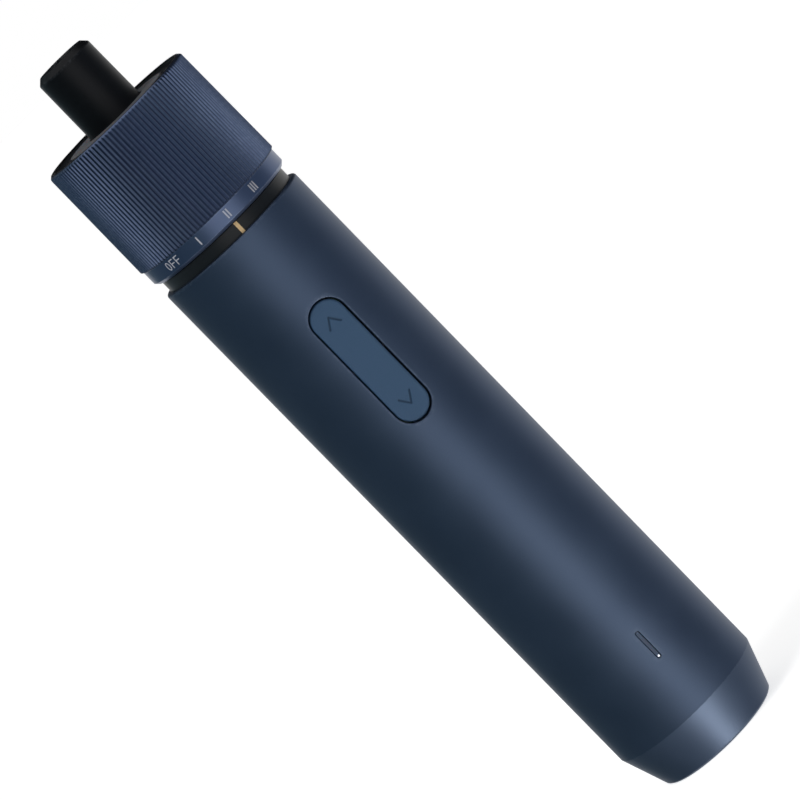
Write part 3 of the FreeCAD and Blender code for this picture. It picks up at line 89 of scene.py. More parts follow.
# %% Grid, lathe and corner functions
EDGE_STEPS = 4
CORNER_POINTS = EDGE_STEPS + 3  # an arc's points and its two holding rows
HOLD = 0.12 * MM


def quads(rows, columns, close_rows=False, close_columns=False):
    """Faces of a grid as an array of shape (rows, columns, 4): each joins a point to its three neighbours."""
    index = np.arange(rows * columns).reshape(rows, columns)
    if close_rows:
        index = np.vstack([index, index[:1]])
    if close_columns:
        index = np.hstack([index, index[:, :1]])
    return np.stack([index[:-1, :-1], index[:-1, 1:], index[1:, 1:], index[1:, :-1]], axis=-1)


def unit(vectors):
    """Vectors divided by their own lengths."""
    return vectors / np.linalg.norm(vectors, axis=-1, keepdims=True)


def rounded(corners, radii):
    """Closed outline with arcs for corners, and 1 for each point on an arc, 0 for the others.
    The arc's centre lies on the corner's bisector, the radius over the sine of the half angle away."""
    corners = np.array(corners)
    radii = np.array(radii)[:, None]
    back = unit(np.roll(corners, 1, axis=0) - corners)
    ahead = unit(np.roll(corners, -1, axis=0) - corners)
    half = np.arccos(np.clip((back * ahead).sum(axis=1, keepdims=True), -1, 1)) / 2
    reach = radii / np.tan(half)
    centre = corners + unit(back + ahead) * radii / np.sin(half)
    sweep = (math.pi - 2 * half)[:, :, None]
    share = np.linspace(0, 1, EDGE_STEPS + 1)[None, :, None]
    first = (corners + back * reach - centre)[:, None]
    last = (corners + ahead * reach - centre)[:, None]
    arc = (np.sin((1 - share) * sweep) * first + np.sin(share * sweep) * last) / np.sin(sweep)
    before = (corners + back * (reach + HOLD))[:, None]
    after = (corners + ahead * (reach + HOLD))[:, None]
    points = np.concatenate([before, centre[:, None] + arc, after], axis=1)
    on_arc = np.pad(np.ones(EDGE_STEPS + 1), 1)
    return points.reshape(-1, 2), np.tile(on_arc, len(corners))


def lathe(radius, height, angles):
    """Points of a turned surface: x is r sin a and y is -r cos a, so angle zero faces the button's side."""
    radius, height, angles = np.broadcast_arrays(radius, height, angles)
    return np.stack([radius * np.sin(angles), -radius * np.cos(angles), height], axis=-1)


def circle(columns):
    """Angles evenly spaced once round."""
    return np.arange(columns) * TURN / columns


ROUND = circle(columns=192)
SMALL_ROUND = circle(columns=24)
QUARTER = np.linspace(0, TURN / 4, EDGE_STEPS + 2)
print("a full circle has", ROUND.size, "columns, a small one", SMALL_ROUND.size)

# %% [markdown]
# ## One function puts a piece into the scene
# Grids that belong together are joined, points that coincide are merged, and the faces are turned outwards,
# which Blender can work out for any closed skin. A value for each point is kept as an attribute: above zero
# it lets a finish rub the edges a little brighter, which on the ribs' crests is partly a painted highlight;
# below zero it marks a groove that gets painted shade. The printed line shows whether the skin is closed.

# %% Piece maker
SHARP = math.radians(50)
MERGE = 0.0002 * MM


def make_piece(name, grids, material, body, stands_for=()):
    """Mesh object from (points, faces, wear) grids, riding on a body."""
    points = np.concatenate([grid[0].reshape(-1, 3) for grid in grids])
    wear_and_painted_light = np.concatenate([np.broadcast_to(g[2], g[0].shape[:-1]).ravel() for g in grids])
    starts = np.cumsum([0] + [grid[0].size // 3 for grid in grids])
    faces = np.concatenate([grid[1].reshape(-1, 4) + start for grid, start in zip(grids, starts)])
    mesh = bpy.data.meshes.new(name)
    mesh.from_pydata(points.tolist(), [], faces.tolist())
    mesh.attributes.new("wear_and_painted_light", "FLOAT", "POINT").data.foreach_set("value", wear_and_painted_light.astype(np.float32))
    skin = bmesh.new()
    skin.from_mesh(mesh)
    bmesh.ops.remove_doubles(skin, verts=skin.verts, dist=MERGE)
    bmesh.ops.recalc_face_normals(skin, faces=skin.faces)
    if skin.calc_volume(signed=True) < 0:
        bmesh.ops.reverse_faces(skin, faces=skin.faces)
    open_edges = sum(not edge.is_manifold for edge in skin.edges)
    volume = skin.calc_volume() / MM ** 3
    skin.to_mesh(mesh)
    skin.free()
    mesh.shade_smooth()
    mesh.set_sharp_from_angle(angle=SHARP)
    mesh.materials.append(material)
    piece = bpy.data.objects.new(name, mesh)
    bpy.context.scene.collection.objects.link(piece)
    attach(piece, body)
    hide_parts(*stands_for)
    print(f"{name}: {len(mesh.polygons)} faces, {volume:.0f} cubic mm, {open_edges} open edges")


def turned_piece(name, corners, radii, material, body, stands_for):
    """Turned piece whose outline is a closed row of (radius, height) corners with an edge radius for each."""
    outline, on_arc = rounded(corners, radii)
    points = lathe(outline[:, :1], outline[:, 1:], ROUND)
    faces = quads(len(outline), ROUND.size, close_rows=True, close_columns=True)
    make_piece(name, [(points, faces, on_arc[:, None])], material, body, stands_for)


# %% [markdown]
# ## Finishes: the tools
# A finish is a small graph of nodes. Three functions lay the ground: one turns a colour written as sRGB hex
# into the linear values that light adds up in, one adds a node with its settings and links, and one starts
# a material. Four more set tone, relief, rubbed edges and painted shade in grooves. Patterns read Object
# coordinates, which are metres here, so a pattern's scale is one over the size of its grain.

# %% Node functions
MIX_A, MIX_B, MIX_RESULT = 6, 7, 2  # the colour sockets of a Mix node, by number
WORN_FROM, WORN_FULL = 0.42, 0.68  # noise values where wear starts and where it is complete


def linear(colour):
    """sRGB hex to linear light: below 0.04045 a straight line, above it a power of 2.4."""
    value = np.array([int(colour[start:start + 2], 16) for start in (1, 3, 5)]) / 255
    bright = ((value + 0.055) / 1.055) ** 2.4
    return (*np.where(value <= 0.04045, value / 12.92, bright), 1.0)


def add(tree, kind, settings=(), links=()):
    """One node: settings are properties or socket values, links are the outputs that feed its sockets."""
    node = tree.nodes.new("ShaderNode" + kind)
    for name, value in dict(settings).items():
        if not isinstance(name, int) and hasattr(node, name):
            setattr(node, name, value)
        else:
            node.inputs[name].default_value = value
    for name, output in dict(links).items():
        tree.links.new(output, node.inputs[name])
    return node


def new_finish(name, settings):
    """Material with one Principled shader; returns it, its tree, shader and Object coordinates."""
    material = bpy.data.materials.new(name)
    material.use_nodes = True
    tree = material.node_tree
    shader = tree.nodes["Principled BSDF"]
    for socket, value in settings.items():
        shader.inputs[socket].default_value = value
    return material, tree, shader, add(tree, "TexCoord").outputs["Object"]


def tone(tree, shader, pattern, colours, gloss):
    """One pattern drives colour and roughness between two values each; returns the colour output."""
    settings = {"data_type": "RGBA", MIX_A: linear(colours[0]), MIX_B: linear(colours[1])}
    colour = add(tree, "Mix", settings, {0: pattern}).outputs[MIX_RESULT]
    tree.links.new(colour, shader.inputs["Base Color"])
    rough = add(tree, "MapRange", {"To Min": gloss[0], "To Max": gloss[1]}, {"Value": pattern})
    tree.links.new(rough.outputs["Result"], shader.inputs["Roughness"])
    return colour


def relief(tree, shader, pattern, depth):
    """Bump of a real depth in metres."""
    bump = add(tree, "Bump", {"Distance": depth}, {"Height": pattern})
    tree.links.new(bump.outputs["Normal"], shader.inputs["Normal"])


def rubbed_edges(tree, shader, place, colour, bare, amount, size):
    """Shows the bare stuff where the wear attribute and a noise of that size are both high."""
    wear_and_painted_light = add(tree, "Attribute", {"attribute_name": "wear_and_painted_light"}).outputs["Fac"]
    patches = add(tree, "TexNoise", {"Scale": 1 / size, "Detail": 4.0}, {"Vector": place}).outputs["Fac"]
    limits = {"From Min": WORN_FROM, "From Max": WORN_FULL, "To Max": amount}
    chance = add(tree, "MapRange", limits, {"Value": patches}).outputs["Result"]
    worn = add(tree, "Math", {"operation": "MULTIPLY"}, {0: chance, 1: wear_and_painted_light}).outputs["Value"]
    settings = {"data_type": "RGBA", MIX_B: linear(bare)}
    mixed = add(tree, "Mix", settings, {0: worn, MIX_A: colour}).outputs[MIX_RESULT]
    tree.links.new(mixed, shader.inputs["Base Color"])


def painted_groove_shade(tree, shader, share):
    """Painted shade: keeps only a share of the colour where the point's value is minus one, at a groove's
    floor.
    """
    colour = shader.inputs["Base Color"].links[0].from_socket
    wear_and_painted_light = add(tree, "Attribute", {"attribute_name": "wear_and_painted_light"}).outputs["Fac"]
    limits = {"From Min": -1.0, "From Max": 0.0, "To Min": share, "To Max": 1.0}
    shade = add(tree, "MapRange", limits, {"Value": wear_and_painted_light}).outputs["Result"]
    settings = {"data_type": "RGBA", "blend_type": "MULTIPLY", 0: 1.0}
    shaded = add(tree, "Mix", settings, {MIX_A: colour, MIX_B: shade}).outputs[MIX_RESULT]
    tree.links.new(shaded, shader.inputs["Base Color"])


# %% [markdown]
# ## Anodised aluminium
# The sleeve is an aluminium tube, blasted with fine glass beads, dyed dark blue in the oxide bath and
# sealed. The dye sits in a clear skin over metal, so the colour tints the reflection and the blasting spreads
# it into a broad soft highlight. It is a metal with a fairly high roughness. Bead marks are about a tenth
# of a millimetre, too fine for this picture, so they are drawn three times as coarse. The torque ring is
# the same metal, turned instead of blasted: it keeps fine lines round the axis and more gloss. The lines are
# drawn coarser than a lathe leaves them, for the same reason.

# %% Anodised finishes
BEAD_MARK = 0.3 * MM
DYE_CLOUD = 14 * MM
TURNING_PITCH = 0.22 * MM
WAVE_BAND = TURN / 20  # width of one band of a Wave texture whose scale is 1


def dyed_tone(tree, shader, place, fine, share, colours, gloss):
    """Clouds of dye and a share of a fine pattern drive colour and roughness; returns the colour output."""
    cloud = add(tree, "TexNoise", {"Scale": 1 / DYE_CLOUD, "Detail": 2.0}, {"Vector": place}).outputs["Fac"]
    settings = {"operation": "MULTIPLY_ADD", 1: share}
    both = add(tree, "Math", settings, {0: fine, 2: cloud}).outputs["Value"]
    return tone(tree, shader, both, colours, gloss)


def blasted_anodised_aluminium():
    """Soft dark blue metal: clouded dye, fine bead marks, a little bare metal on the edges."""
    material, tree, shader, place = new_finish("blasted_anodised_aluminium", {"Metallic": 1.0})
    beads = add(tree, "TexNoise", {"Scale": 1 / BEAD_MARK, "Detail": 3.0}, {"Vector": place}).outputs["Fac"]
    blues = ("#3d495d", "#4a576c")
    colour = dyed_tone(tree, shader, place, beads, share=0.35, colours=blues, gloss=(0.44, 0.52))
    rubbed_edges(tree, shader, place, colour, bare="#7d8899", amount=0.2, size=0.8 * MM)
    relief(tree, shader, beads, depth=0.004 * MM)
    return material


def turned_anodised_aluminium():
    """Blue metal with fine lathe lines round the axis, worn crests with a painted highlight, painted shade in
    grooves.
    """
    material, tree, shader, place = new_finish("turned_anodised_aluminium", {"Metallic": 1.0})
    wave = {"bands_direction": "Z", "Scale": WAVE_BAND / TURNING_PITCH, "Distortion": 1.5, "Detail": 2.0}
    lines = add(tree, "TexWave", wave, {"Vector": place}).outputs["Fac"]
    blues = ("#495570", "#586580")
    colour = dyed_tone(tree, shader, place, lines, share=0.3, colours=blues, gloss=(0.3, 0.38))
    rubbed_edges(tree, shader, place, colour, bare="#8d9ab2", amount=0.3, size=0.6 * MM)
    # Painted shade: groove floors and the step below the ribs keep only this share of their colour.
    painted_groove_shade(tree, shader, share=0.38)
    relief(tree, shader, lines, depth=0.002 * MM)
    return material


SLEEVE_FINISH = blasted_anodised_aluminium()
RING_FINISH = turned_anodised_aluminium()
print("finishes:", SLEEVE_FINISH.name, "and", RING_FINISH.name)

# %% [markdown]
# ## Plastics
# The thumb button is moulded in blue plastic with a spark-eroded, matte face. The neck, the tail plug and
# the front cap are black ABS, satin from the mould on the neck and the tail, and polished on the cap. Plastic
# is a dielectric: its own colour comes from below the surface and its gloss is white.

# %% Plastic finishes
SPARK_GRAIN = 0.25 * MM


def moulded_plastic(name, colours, gloss, specular, grain, depth):
    """Moulded plastic: colour and gloss follow a fine mould grain, the edges are rubbed a little lighter
    and sunk grooves get painted shade."""
    material, tree, shader, place = new_finish(name, {"IOR": 1.5, "Specular IOR Level": specular})
    mould = add(tree, "TexNoise", {"Scale": 1 / grain, "Detail": 3.0}, {"Vector": place}).outputs["Fac"]
    colour = tone(tree, shader, mould, colours, gloss)
    rubbed_edges(tree, shader, place, colour, bare=colours[1], amount=0.5, size=3 * grain)
    # Painted shade where a groove is sunk, such as the arrow heads on the thumb button.
    painted_groove_shade(tree, shader, share=0.58)
    relief(tree, shader, mould, depth)
    return material


BUTTON_FINISH = moulded_plastic(
    "spark_textured_blue_plastic", colours=("#344e6b", "#3c5775"), gloss=(0.5, 0.62), specular=0.25,
    grain=SPARK_GRAIN, depth=0.006 * MM)
BLACK_FINISH = moulded_plastic(
    "satin_black_abs", colours=("#0e1114", "#171b1f"), gloss=(0.32, 0.42), specular=0.25,
    grain=SPARK_GRAIN, depth=0.003 * MM)
CAP_FINISH = moulded_plastic(
    "polished_black_abs", colours=("#070809", "#0d0e10"), gloss=(0.26, 0.34), specular=0.2,
    grain=2 * SPARK_GRAIN, depth=0.001 * MM)
print("finishes:", BUTTON_FINISH.name, BLACK_FINISH.name, CAP_FINISH.name)

# %% [markdown]
# ## Black steel, print and lamps
# The bit holder is steel with a black oxide skin, dull and almost colourless. The step marks are screen
# printed ink and the index mark is an amber paint fill. The front light has a frosted ring that scatters
# its lamps, and the charge lamp sits behind a smoked bar with one lit point.

# %% Finishes of the small visible pieces
OXIDE_MOTTLE = 1.5 * MM
INK_GRAIN = 0.15 * MM


def black_oxide_steel():
    """Dull black metal skin, mottled, with brighter steel where the edges rub."""
    material, tree, shader, place = new_finish("black_oxide_steel", {"Metallic": 0.7})
    settings = {"Scale": 1 / OXIDE_MOTTLE, "Detail": 5.0}
    mottle = add(tree, "TexNoise", settings, {"Vector": place}).outputs["Fac"]
    colour = tone(tree, shader, mottle, colours=("#090a0d", "#101216"), gloss=(0.38, 0.5))
    rubbed_edges(tree, shader, place, colour, bare="#3c3e43", amount=0.4, size=0.5 * MM)
    relief(tree, shader, mottle, depth=0.003 * MM)
    return material


def print_ink(name, colours, gloss):
    """Thin printed or filled paint: nearly even, with the small density changes of a pulled print."""
    material, tree, shader, place = new_finish(name, {"IOR": 1.48})
    grain = add(tree, "TexNoise", {"Scale": 1 / INK_GRAIN, "Detail": 2.0}, {"Vector": place}).outputs["Fac"]
    tone(tree, shader, grain, colours, gloss)
    relief(tree, shader, grain, depth=0.002 * MM)
    return material


def frosted_polycarbonate(name, colours, gloss, specular):
    """Clear plastic with a sandblasted face: light scatters just under the surface."""
    settings = {"IOR": 1.585, "Subsurface Weight": 0.2, "Subsurface Scale": 0.6 * MM}
    settings["Specular IOR Level"] = specular
    material, tree, shader, place = new_finish(name, settings)
    frost = add(tree, "TexNoise", {"Scale": 1 / BEAD_MARK, "Detail": 4.0}, {"Vector": place}).outputs["Fac"]
    tone(tree, shader, frost, colours, gloss)
    relief(tree, shader, frost, depth=0.003 * MM)
    return material


def lit_point():
    """The charge lamp's lit end, white in the picture."""
    settings = {"Emission Color": linear("#f2f6ff"), "Emission Strength": 1.0}
    material, tree, shader, place = new_finish("lit_lamp_window", settings)
    glow = add(tree, "TexNoise", {"Scale": 1 / INK_GRAIN}, {"Vector": place}).outputs["Fac"]
    tone(tree, shader, glow, colours=("#e9efff", "#ffffff"), gloss=(0.3, 0.4))
    return material


STEEL_FINISH = black_oxide_steel()
INK_FINISH = print_ink("screen_printed_grey_ink", colours=("#9ea3ae", "#b5b9c2"), gloss=(0.5, 0.6))
INDEX_FINISH = print_ink("amber_paint_fill", colours=("#d9b985", "#e4c698"), gloss=(0.35, 0.45))
LIGHT_FINISH = frosted_polycarbonate(
    "frosted_polycarbonate", colours=("#59595d", "#69696d"), gloss=(0.45, 0.6), specular=0.3)
LENS_FINISH = frosted_polycarbonate(
    "smoked_polycarbonate", colours=("#3c485d", "#465369"), gloss=(0.4, 0.5), specular=0.15)
LIT_FINISH = lit_point()
print("finishes:", len(bpy.data.materials), "materials in the file so far")

# %% [markdown]
# ## The sleeve
# A tube with a coned tail, and two slots in its front: a long one for the thumb button and a small one for
# the charge lamp. Cutting holes into a finished mesh leaves ragged edges, so the holes are drawn in from
# the start. The turned grid has a window of rows and columns left out round each slot. A second grid fills
# the window: its first ring is the window's border, its last rings run over the slot's rounded edge, down
# through the wall and out to the same window in the bore.

# %% Slot functions
DRAW_STEPS = 8
DRAW_IN = np.linspace(0, 1, DRAW_STEPS, endpoint=False)[:, None, None]


def window_border(rows, columns):
    """Row and column numbers once round a rectangle of grid points, starting along its first row."""
    up = np.arange(*rows)
    across = np.arange(*columns)
    row = [np.full_like(across, rows[0]), up, np.full_like(across, rows[1]), up[::-1] + 1]
    column = [across, np.full_like(up, columns[1]), across[::-1] + 1, np.full_like(up, columns[0])]
    return np.concatenate(row), np.concatenate(column)


def slot_skin(border, ends, half_width, edge):
    """Skin from a window's border in the outer wall through a round-ended slot to the window in the bore.
    Each border point looks at its nearest point on the slot's centre line; the slot's outline is that point
    plus the radius along the same line of sight. In the wall y is minus the root of r squared less x
    squared."""
    x, z = border[:, 0], border[:, 2]
    centre = np.clip(z, *ends)
    angle = np.arctan2(z - centre, x)

    def outline(radius):
        return np.stack([radius * np.cos(angle), centre + radius * np.sin(angle)], axis=-1)

    def on_wall(flat, wall, depth):
        return np.stack([flat[..., 0], depth - np.sqrt(wall ** 2 - flat[..., 0] ** 2), flat[..., 1]], axis=-1)

    start = np.stack([x, z], axis=-1)
    back = np.stack([x * BORE_R / BODY_R, z], axis=-1)
    turn = QUARTER[:, None]
    towards = start + DRAW_IN * (outline(half_width + edge) - start)
    over = outline(half_width + edge * (1 - np.sin(turn)))
    away = back + DRAW_IN[::-1] * (outline(half_width) - back)
    through = outline(half_width)[None]
    rows = [on_wall(towards, BODY_R, 0.0), on_wall(over, BODY_R, edge * (1 - np.cos(turn)))]
    rows += [on_wall(through, BODY_R, edge + HOLD), on_wall(through, BORE_R, 0.0), on_wall(away, BORE_R, 0.0)]
    wear_and_painted_light = [np.zeros(len(towards)), np.ones(len(over)), np.zeros(2 + len(away))]
    return np.concatenate(rows), np.concatenate(wear_and_painted_light)


# %% The sleeve's outline
TAIL_R = 14.05 * MM
TAIL_BORE_R = 11.6 * MM
TAIL_EDGE = 0.4 * MM
CONE_TOP = 10.14 * MM
SHOULDER = 9.5 * MM
RIM_ROUND = 0.6 * MM
SOFT = 0.12 * MM
RIM_CORNER = 4
SHOULDER_CORNER = 6
# A slot is its lower end, its upper end and half its width.
BUTTON_SLOT = (89.6 * MM, 120.8 * MM, 8.35 * MM / 2)
LAMP_SLOT = (22.8 * MM, 29.9 * MM, 1.0 * MM / 2)
WINDOW_MARGIN = 5 * MM
WINDOW_ROWS = 44


def sleeve_outline():
    """Closed outline with the rows of both windows worked into its wall and its bore. Returns it, 1 for each
    point on an arc, the first row of the windows in the wall and the row after those in the bore."""
    slope = (BODY_R - TAIL_R) / CONE_TOP
    corners = [(TAIL_BORE_R, 0), (TAIL_R - TAIL_EDGE, 0), (TAIL_R + slope * TAIL_EDGE, TAIL_EDGE)]
    corners += [(BODY_R, CONE_TOP), (BODY_R, BODY_TOP), (BORE_R, BODY_TOP)]
    corners += [(BORE_R, SHOULDER), (TAIL_BORE_R, SHOULDER)]
    radii = np.full(len(corners), SOFT)
    radii[RIM_CORNER] = RIM_ROUND
    outline, on_arc = rounded(corners, radii)
    spans = [(slot[0] - WINDOW_MARGIN, slot[1] + WINDOW_MARGIN) for slot in (LAMP_SLOT, BUTTON_SLOT)]
    heights = np.concatenate([np.linspace(*span, WINDOW_ROWS + 1) for span in spans])
    wall = np.stack([np.full_like(heights, BODY_R), heights], axis=-1)
    bore = np.stack([np.full_like(heights, BORE_R), heights], axis=-1)[::-1]
    still = np.zeros_like(heights)
    first = RIM_CORNER * CORNER_POINTS
    second = SHOULDER_CORNER * CORNER_POINTS
    outline = np.concatenate([outline[:first], wall, outline[first:second], bore, outline[second:]])
    on_arc = np.concatenate([on_arc[:first], still, on_arc[first:second], still, on_arc[second:]])
    return outline, on_arc, first, second + 2 * heights.size


# %% The sleeve
BUTTON_SLOT_EDGE = 0.3 * MM
LAMP_SLOT_EDGE = 0.08 * MM
WINDOW_HALF = 7 * MM
WINDOW_COLUMNS = 36


def sleeve():
    """Turned tube with both slots: one closed outline round the axis, two windows, two slot skins."""
    outline, on_arc, wall_start, bore_end = sleeve_outline()
    half = math.asin(WINDOW_HALF / BODY_R)
    angles = np.linspace(-half, half, WINDOW_COLUMNS + 1)
    angles = np.concatenate([angles, np.linspace(half, TURN - half, ROUND.size)[1:-1]])
    points = lathe(outline[:, :1], outline[:, 1:], angles)
    faces = quads(len(outline), angles.size, close_rows=True, close_columns=True)
    kept = np.ones(faces.shape[:2], bool)
    grids = []
    for number, (slot, edge) in enumerate(((LAMP_SLOT, LAMP_SLOT_EDGE), (BUTTON_SLOT, BUTTON_SLOT_EDGE))):
        low = wall_start + number * (WINDOW_ROWS + 1)
        kept[low:low + WINDOW_ROWS, :WINDOW_COLUMNS] = False
        inside = bore_end - (number + 1) * (WINDOW_ROWS + 1)
        kept[inside:inside + WINDOW_ROWS, :WINDOW_COLUMNS] = False
        border = points[window_border((low, low + WINDOW_ROWS), (0, WINDOW_COLUMNS))]
        skin, worn = slot_skin(border, (slot[0] + slot[2], slot[1] - slot[2]), slot[2], edge)
        grids.append((skin, quads(*skin.shape[:2], close_columns=True), worn[:, None]))
    grids.append((points, faces[kept], on_arc[:, None]))
    make_piece("sleeve_skin", grids, SLEEVE_FINISH, "housing", ["sleeve"])


sleeve()

# %% [markdown]
# ## The torque ring
# A turned ring with a plain band at the rear and straight ribs in front. The ribs are left standing between
# round grooves, so the surface is a turned outline and a groove pattern, and the smaller radius of the
# two counts at each point. Columns are crowded where the groove meets the crest, because that thin edge
# draws the light line that makes a knurled ring look crisp.

# %% The ribs
RIB_COUNT = 120
RIB_REAR_R = 18.02 * MM
RIB_CROWN = 0.055 * MM
GROOVE_FLOOR = 17.57 * MM
GROOVE_R = 0.33 * MM
GROOVE_SHARES = np.array([-1.0, -0.8, -0.42, 0.0, 0.42, 0.8, 1.0, 1.13, 1.27, 1.43, 1.59, 1.73])
# Share of each groove, from its middle, whose colour is darkened as painted shade.
FLOOR_SHARE = 0.75
CREST_SHARE = 0.2
# Crests get patches of lighter bare metal: partly wear, partly a painted highlight along the crest line.
CREST_WEAR_AND_PAINTED_HIGHLIGHT = 0.6


def rib_pattern():
    """Angles of all columns, and over them the crown's fall, the groove's radius and a value for each point:
    worn crests with a painted highlight above zero, painted shade on the groove floor below zero. A groove
    rises from its floor by its radius less the root of that squared less the distance from its middle
    squared."""
    pitch = TURN / RIB_COUNT
    spacing = pitch * RIB_REAR_R
    offset = GROOVE_SHARES * GROOVE_R
    angles = (np.arange(RIB_COUNT)[:, None] * pitch + offset / RIB_REAR_R).ravel()
    across = np.abs((offset + spacing / 2) % spacing - spacing / 2)
    rise = GROOVE_R - np.sqrt(np.maximum(GROOVE_R ** 2 - across ** 2, 0))
    groove = np.where(across < GROOVE_R, GROOVE_FLOOR + rise, np.inf)
    crown = RIB_CROWN * np.minimum((spacing / 2 - across) / (spacing / 2 - GROOVE_R), 1) ** 2
    crest = np.abs(across - GROOVE_R) < CREST_SHARE * GROOVE_R
    sunk = np.maximum(1 - (across / GROOVE_R / FLOOR_SHARE) ** 2, 0)
    return angles, np.tile([crown, groove, CREST_WEAR_AND_PAINTED_HIGHLIGHT * crest - sunk], RIB_COUNT)


print(f"{RIB_COUNT} ribs, {TURN / RIB_COUNT * RIB_REAR_R / MM:.2f} mm apart")

# %% The torque ring
BAND_R = 17.55 * MM
BAND_EDGE = 0.7 * MM
BAND_LENGTH = 3.65 * MM
BAND_STEP = 0.35 * MM
RIB_FRONT_R = 17.87 * MM
RING_BORE_R = 16.45 * MM
MOUTH_R = 17.2 * MM
CAP_THICKNESS = 1.88 * MM
SLIDE_GAP = 0.1 * MM
FRONT_EDGE = 0.6 * MM
FRONT_ROUND = 0.5 * MM
FRONT_CORNER = 5
STEP_SHADE = 0.75


def torque_ring():
    """Radius is the smaller of the turned outline, less the crown of a rib, and the groove's round floor."""
    band_top = RING_REAR + BAND_LENGTH
    mouth_floor = FACE_FRONT - CAP_THICKNESS - SLIDE_GAP
    corners = [(RING_BORE_R, RING_REAR), (BAND_R - BAND_EDGE, RING_REAR), (BAND_R, RING_REAR + BAND_EDGE)]
    corners += [(BAND_R, band_top), (RIB_REAR_R, band_top + BAND_STEP)]
    corners += [(RIB_FRONT_R, RING_FRONT - FRONT_EDGE), (MOUTH_R, RING_FRONT)]
    corners += [(MOUTH_R, mouth_floor), (RING_BORE_R, mouth_floor)]
    radii = np.full(len(corners), SOFT / 2)
    radii[FRONT_CORNER] = FRONT_ROUND
    outline, on_arc = rounded(corners, radii)
    angles, (crown, groove, rib_wear_and_painted_light) = rib_pattern()
    ribbed = outline[:, :1] > GROOVE_FLOOR
    ribs = np.maximum(np.minimum(outline[:, :1] - crown, groove), GROOVE_FLOOR)
    radius = np.where(ribbed, ribs, outline[:, :1])
    # The step from the band up to the ribs is darkened in colour by STEP_SHADE: painted shade.
    step_row = ribbed & (outline[:, 1:] < band_top + BAND_STEP + HOLD)
    wear_and_painted_light = np.where(step_row, -STEP_SHADE, np.where(ribbed, rib_wear_and_painted_light, on_arc[:, None]))
    faces = quads(len(outline), angles.size, close_rows=True, close_columns=True)
    grid = (lathe(radius, outline[:, 1:], angles), faces, wear_and_painted_light)
    make_piece("torque_ring_skin", [grid], RING_FINISH, "torque_ring", ["torque_ring"])


torque_ring()

# %% [markdown]
# ## Step marks on the band
# The band carries the word OFF and the step numbers I, II and III, printed in pale grey. Each mark is a set
# of strokes: a path on the unrolled band, half a stroke width to each side, wound round the axis. The ink
# stands about a hundredth of a millimetre proud, as a print does. A gap too fine to see parts the arms of an
# F from its stem, so that each stroke is a closed skin of its own.

# %% Strokes of ink
MARK_HEIGHT = 1.9 * MM
MARK_LOW = RING_REAR + (BAND_EDGE + BAND_LENGTH - MARK_HEIGHT) / 2
LETTER_STROKE = 0.2 * MM
LETTER_WIDTH = 1.06 * MM
INK_PROUD = 0.015 * MM
INK_SUNK = 0.03 * MM
INK_BREAK = 0.002 * MM


def stroke(path, width, closed=False):
    """Ribbon along a path of (arc, height): each point moves half a width to both sides along its normal."""
    path = np.array(path)
    ahead = np.roll(path, -1, axis=0) if closed else np.vstack([path[1:], 2 * path[-1:] - path[-2:-1]])
    behind = np.roll(path, 1, axis=0) if closed else np.vstack([2 * path[:1] - path[1:2], path[:-1]])
    along = unit(ahead - behind)
    side = np.stack([-along[:, 1], along[:, 0]], axis=-1) * width / 2
    flat = np.stack([path + side, path - side, path - side, path + side], axis=1)
    radius = BAND_R + np.array([INK_PROUD, INK_PROUD, -INK_SUNK, -INK_SUNK])
    points = lathe(radius, flat[..., 1], flat[..., 0] / BAND_R)
    faces = quads(*flat.shape[:2], close_rows=closed, close_columns=True).reshape(-1, 4)
    if not closed:
        ring = np.arange(radius.size)
        faces = np.vstack([faces, ring[::-1], ring + radius.size * (len(path) - 1)])
    return points, faces, 0.0


def bar(x, width):
    """Upright stroke over the mark's whole height at an arc position."""
    return stroke([(x, MARK_LOW), (x, MARK_LOW + MARK_HEIGHT)], width)


def arm(x, level):
    """Level stroke of an F, from the edge of its stem at a share of the height."""
    height = MARK_LOW + LETTER_STROKE / 2 + level * (MARK_HEIGHT - LETTER_STROKE)
    start = x + LETTER_STROKE / 2 + INK_BREAK
    return stroke([(start, height), (x + LETTER_WIDTH - LETTER_STROKE / 2, height)], LETTER_STROKE)


# %% The printed marks
STEP_ANGLE = math.radians(25.5)
MARK_STROKE = 0.3 * MM
MARK_GAP = 0.62 * MM
LETTER_PITCH = 1.48 * MM

marks = []
for count, steps in ((1, -1), (2, 0), (3, 1)):
    places = steps * STEP_ANGLE * BAND_R + (np.arange(count) - (count - 1) / 2) * MARK_GAP
    marks += [bar(place, MARK_STROKE) for place in places]
off = -2 * STEP_ANGLE * BAND_R
o_x = off - LETTER_PITCH + (LETTER_WIDTH - LETTER_STROKE) / 2 * np.cos(SMALL_ROUND)
o_z = MARK_LOW + MARK_HEIGHT / 2 + (MARK_HEIGHT - LETTER_STROKE) / 2 * np.sin(SMALL_ROUND)
marks.append(stroke(np.stack([o_x, o_z], axis=-1), LETTER_STROKE, closed=True))
for letter in (0, 1):
    stem = off + letter * LETTER_PITCH - LETTER_WIDTH / 2 + LETTER_STROKE / 2
    marks += [bar(stem, LETTER_STROKE), arm(stem, level=1.0), arm(stem, level=0.5)]
make_piece("step_marks", marks, INK_FINISH, "torque_ring")

# %% [markdown]
# ## The front face
# Inside the ring's mouth the tool ends in a black cap with a thin rim. Behind the rim lies the face, set back
# a little, and in it a frosted ring that throws the work light forward round the bit. Both are turned rings,
# so their outlines with rounded edges are all they need.

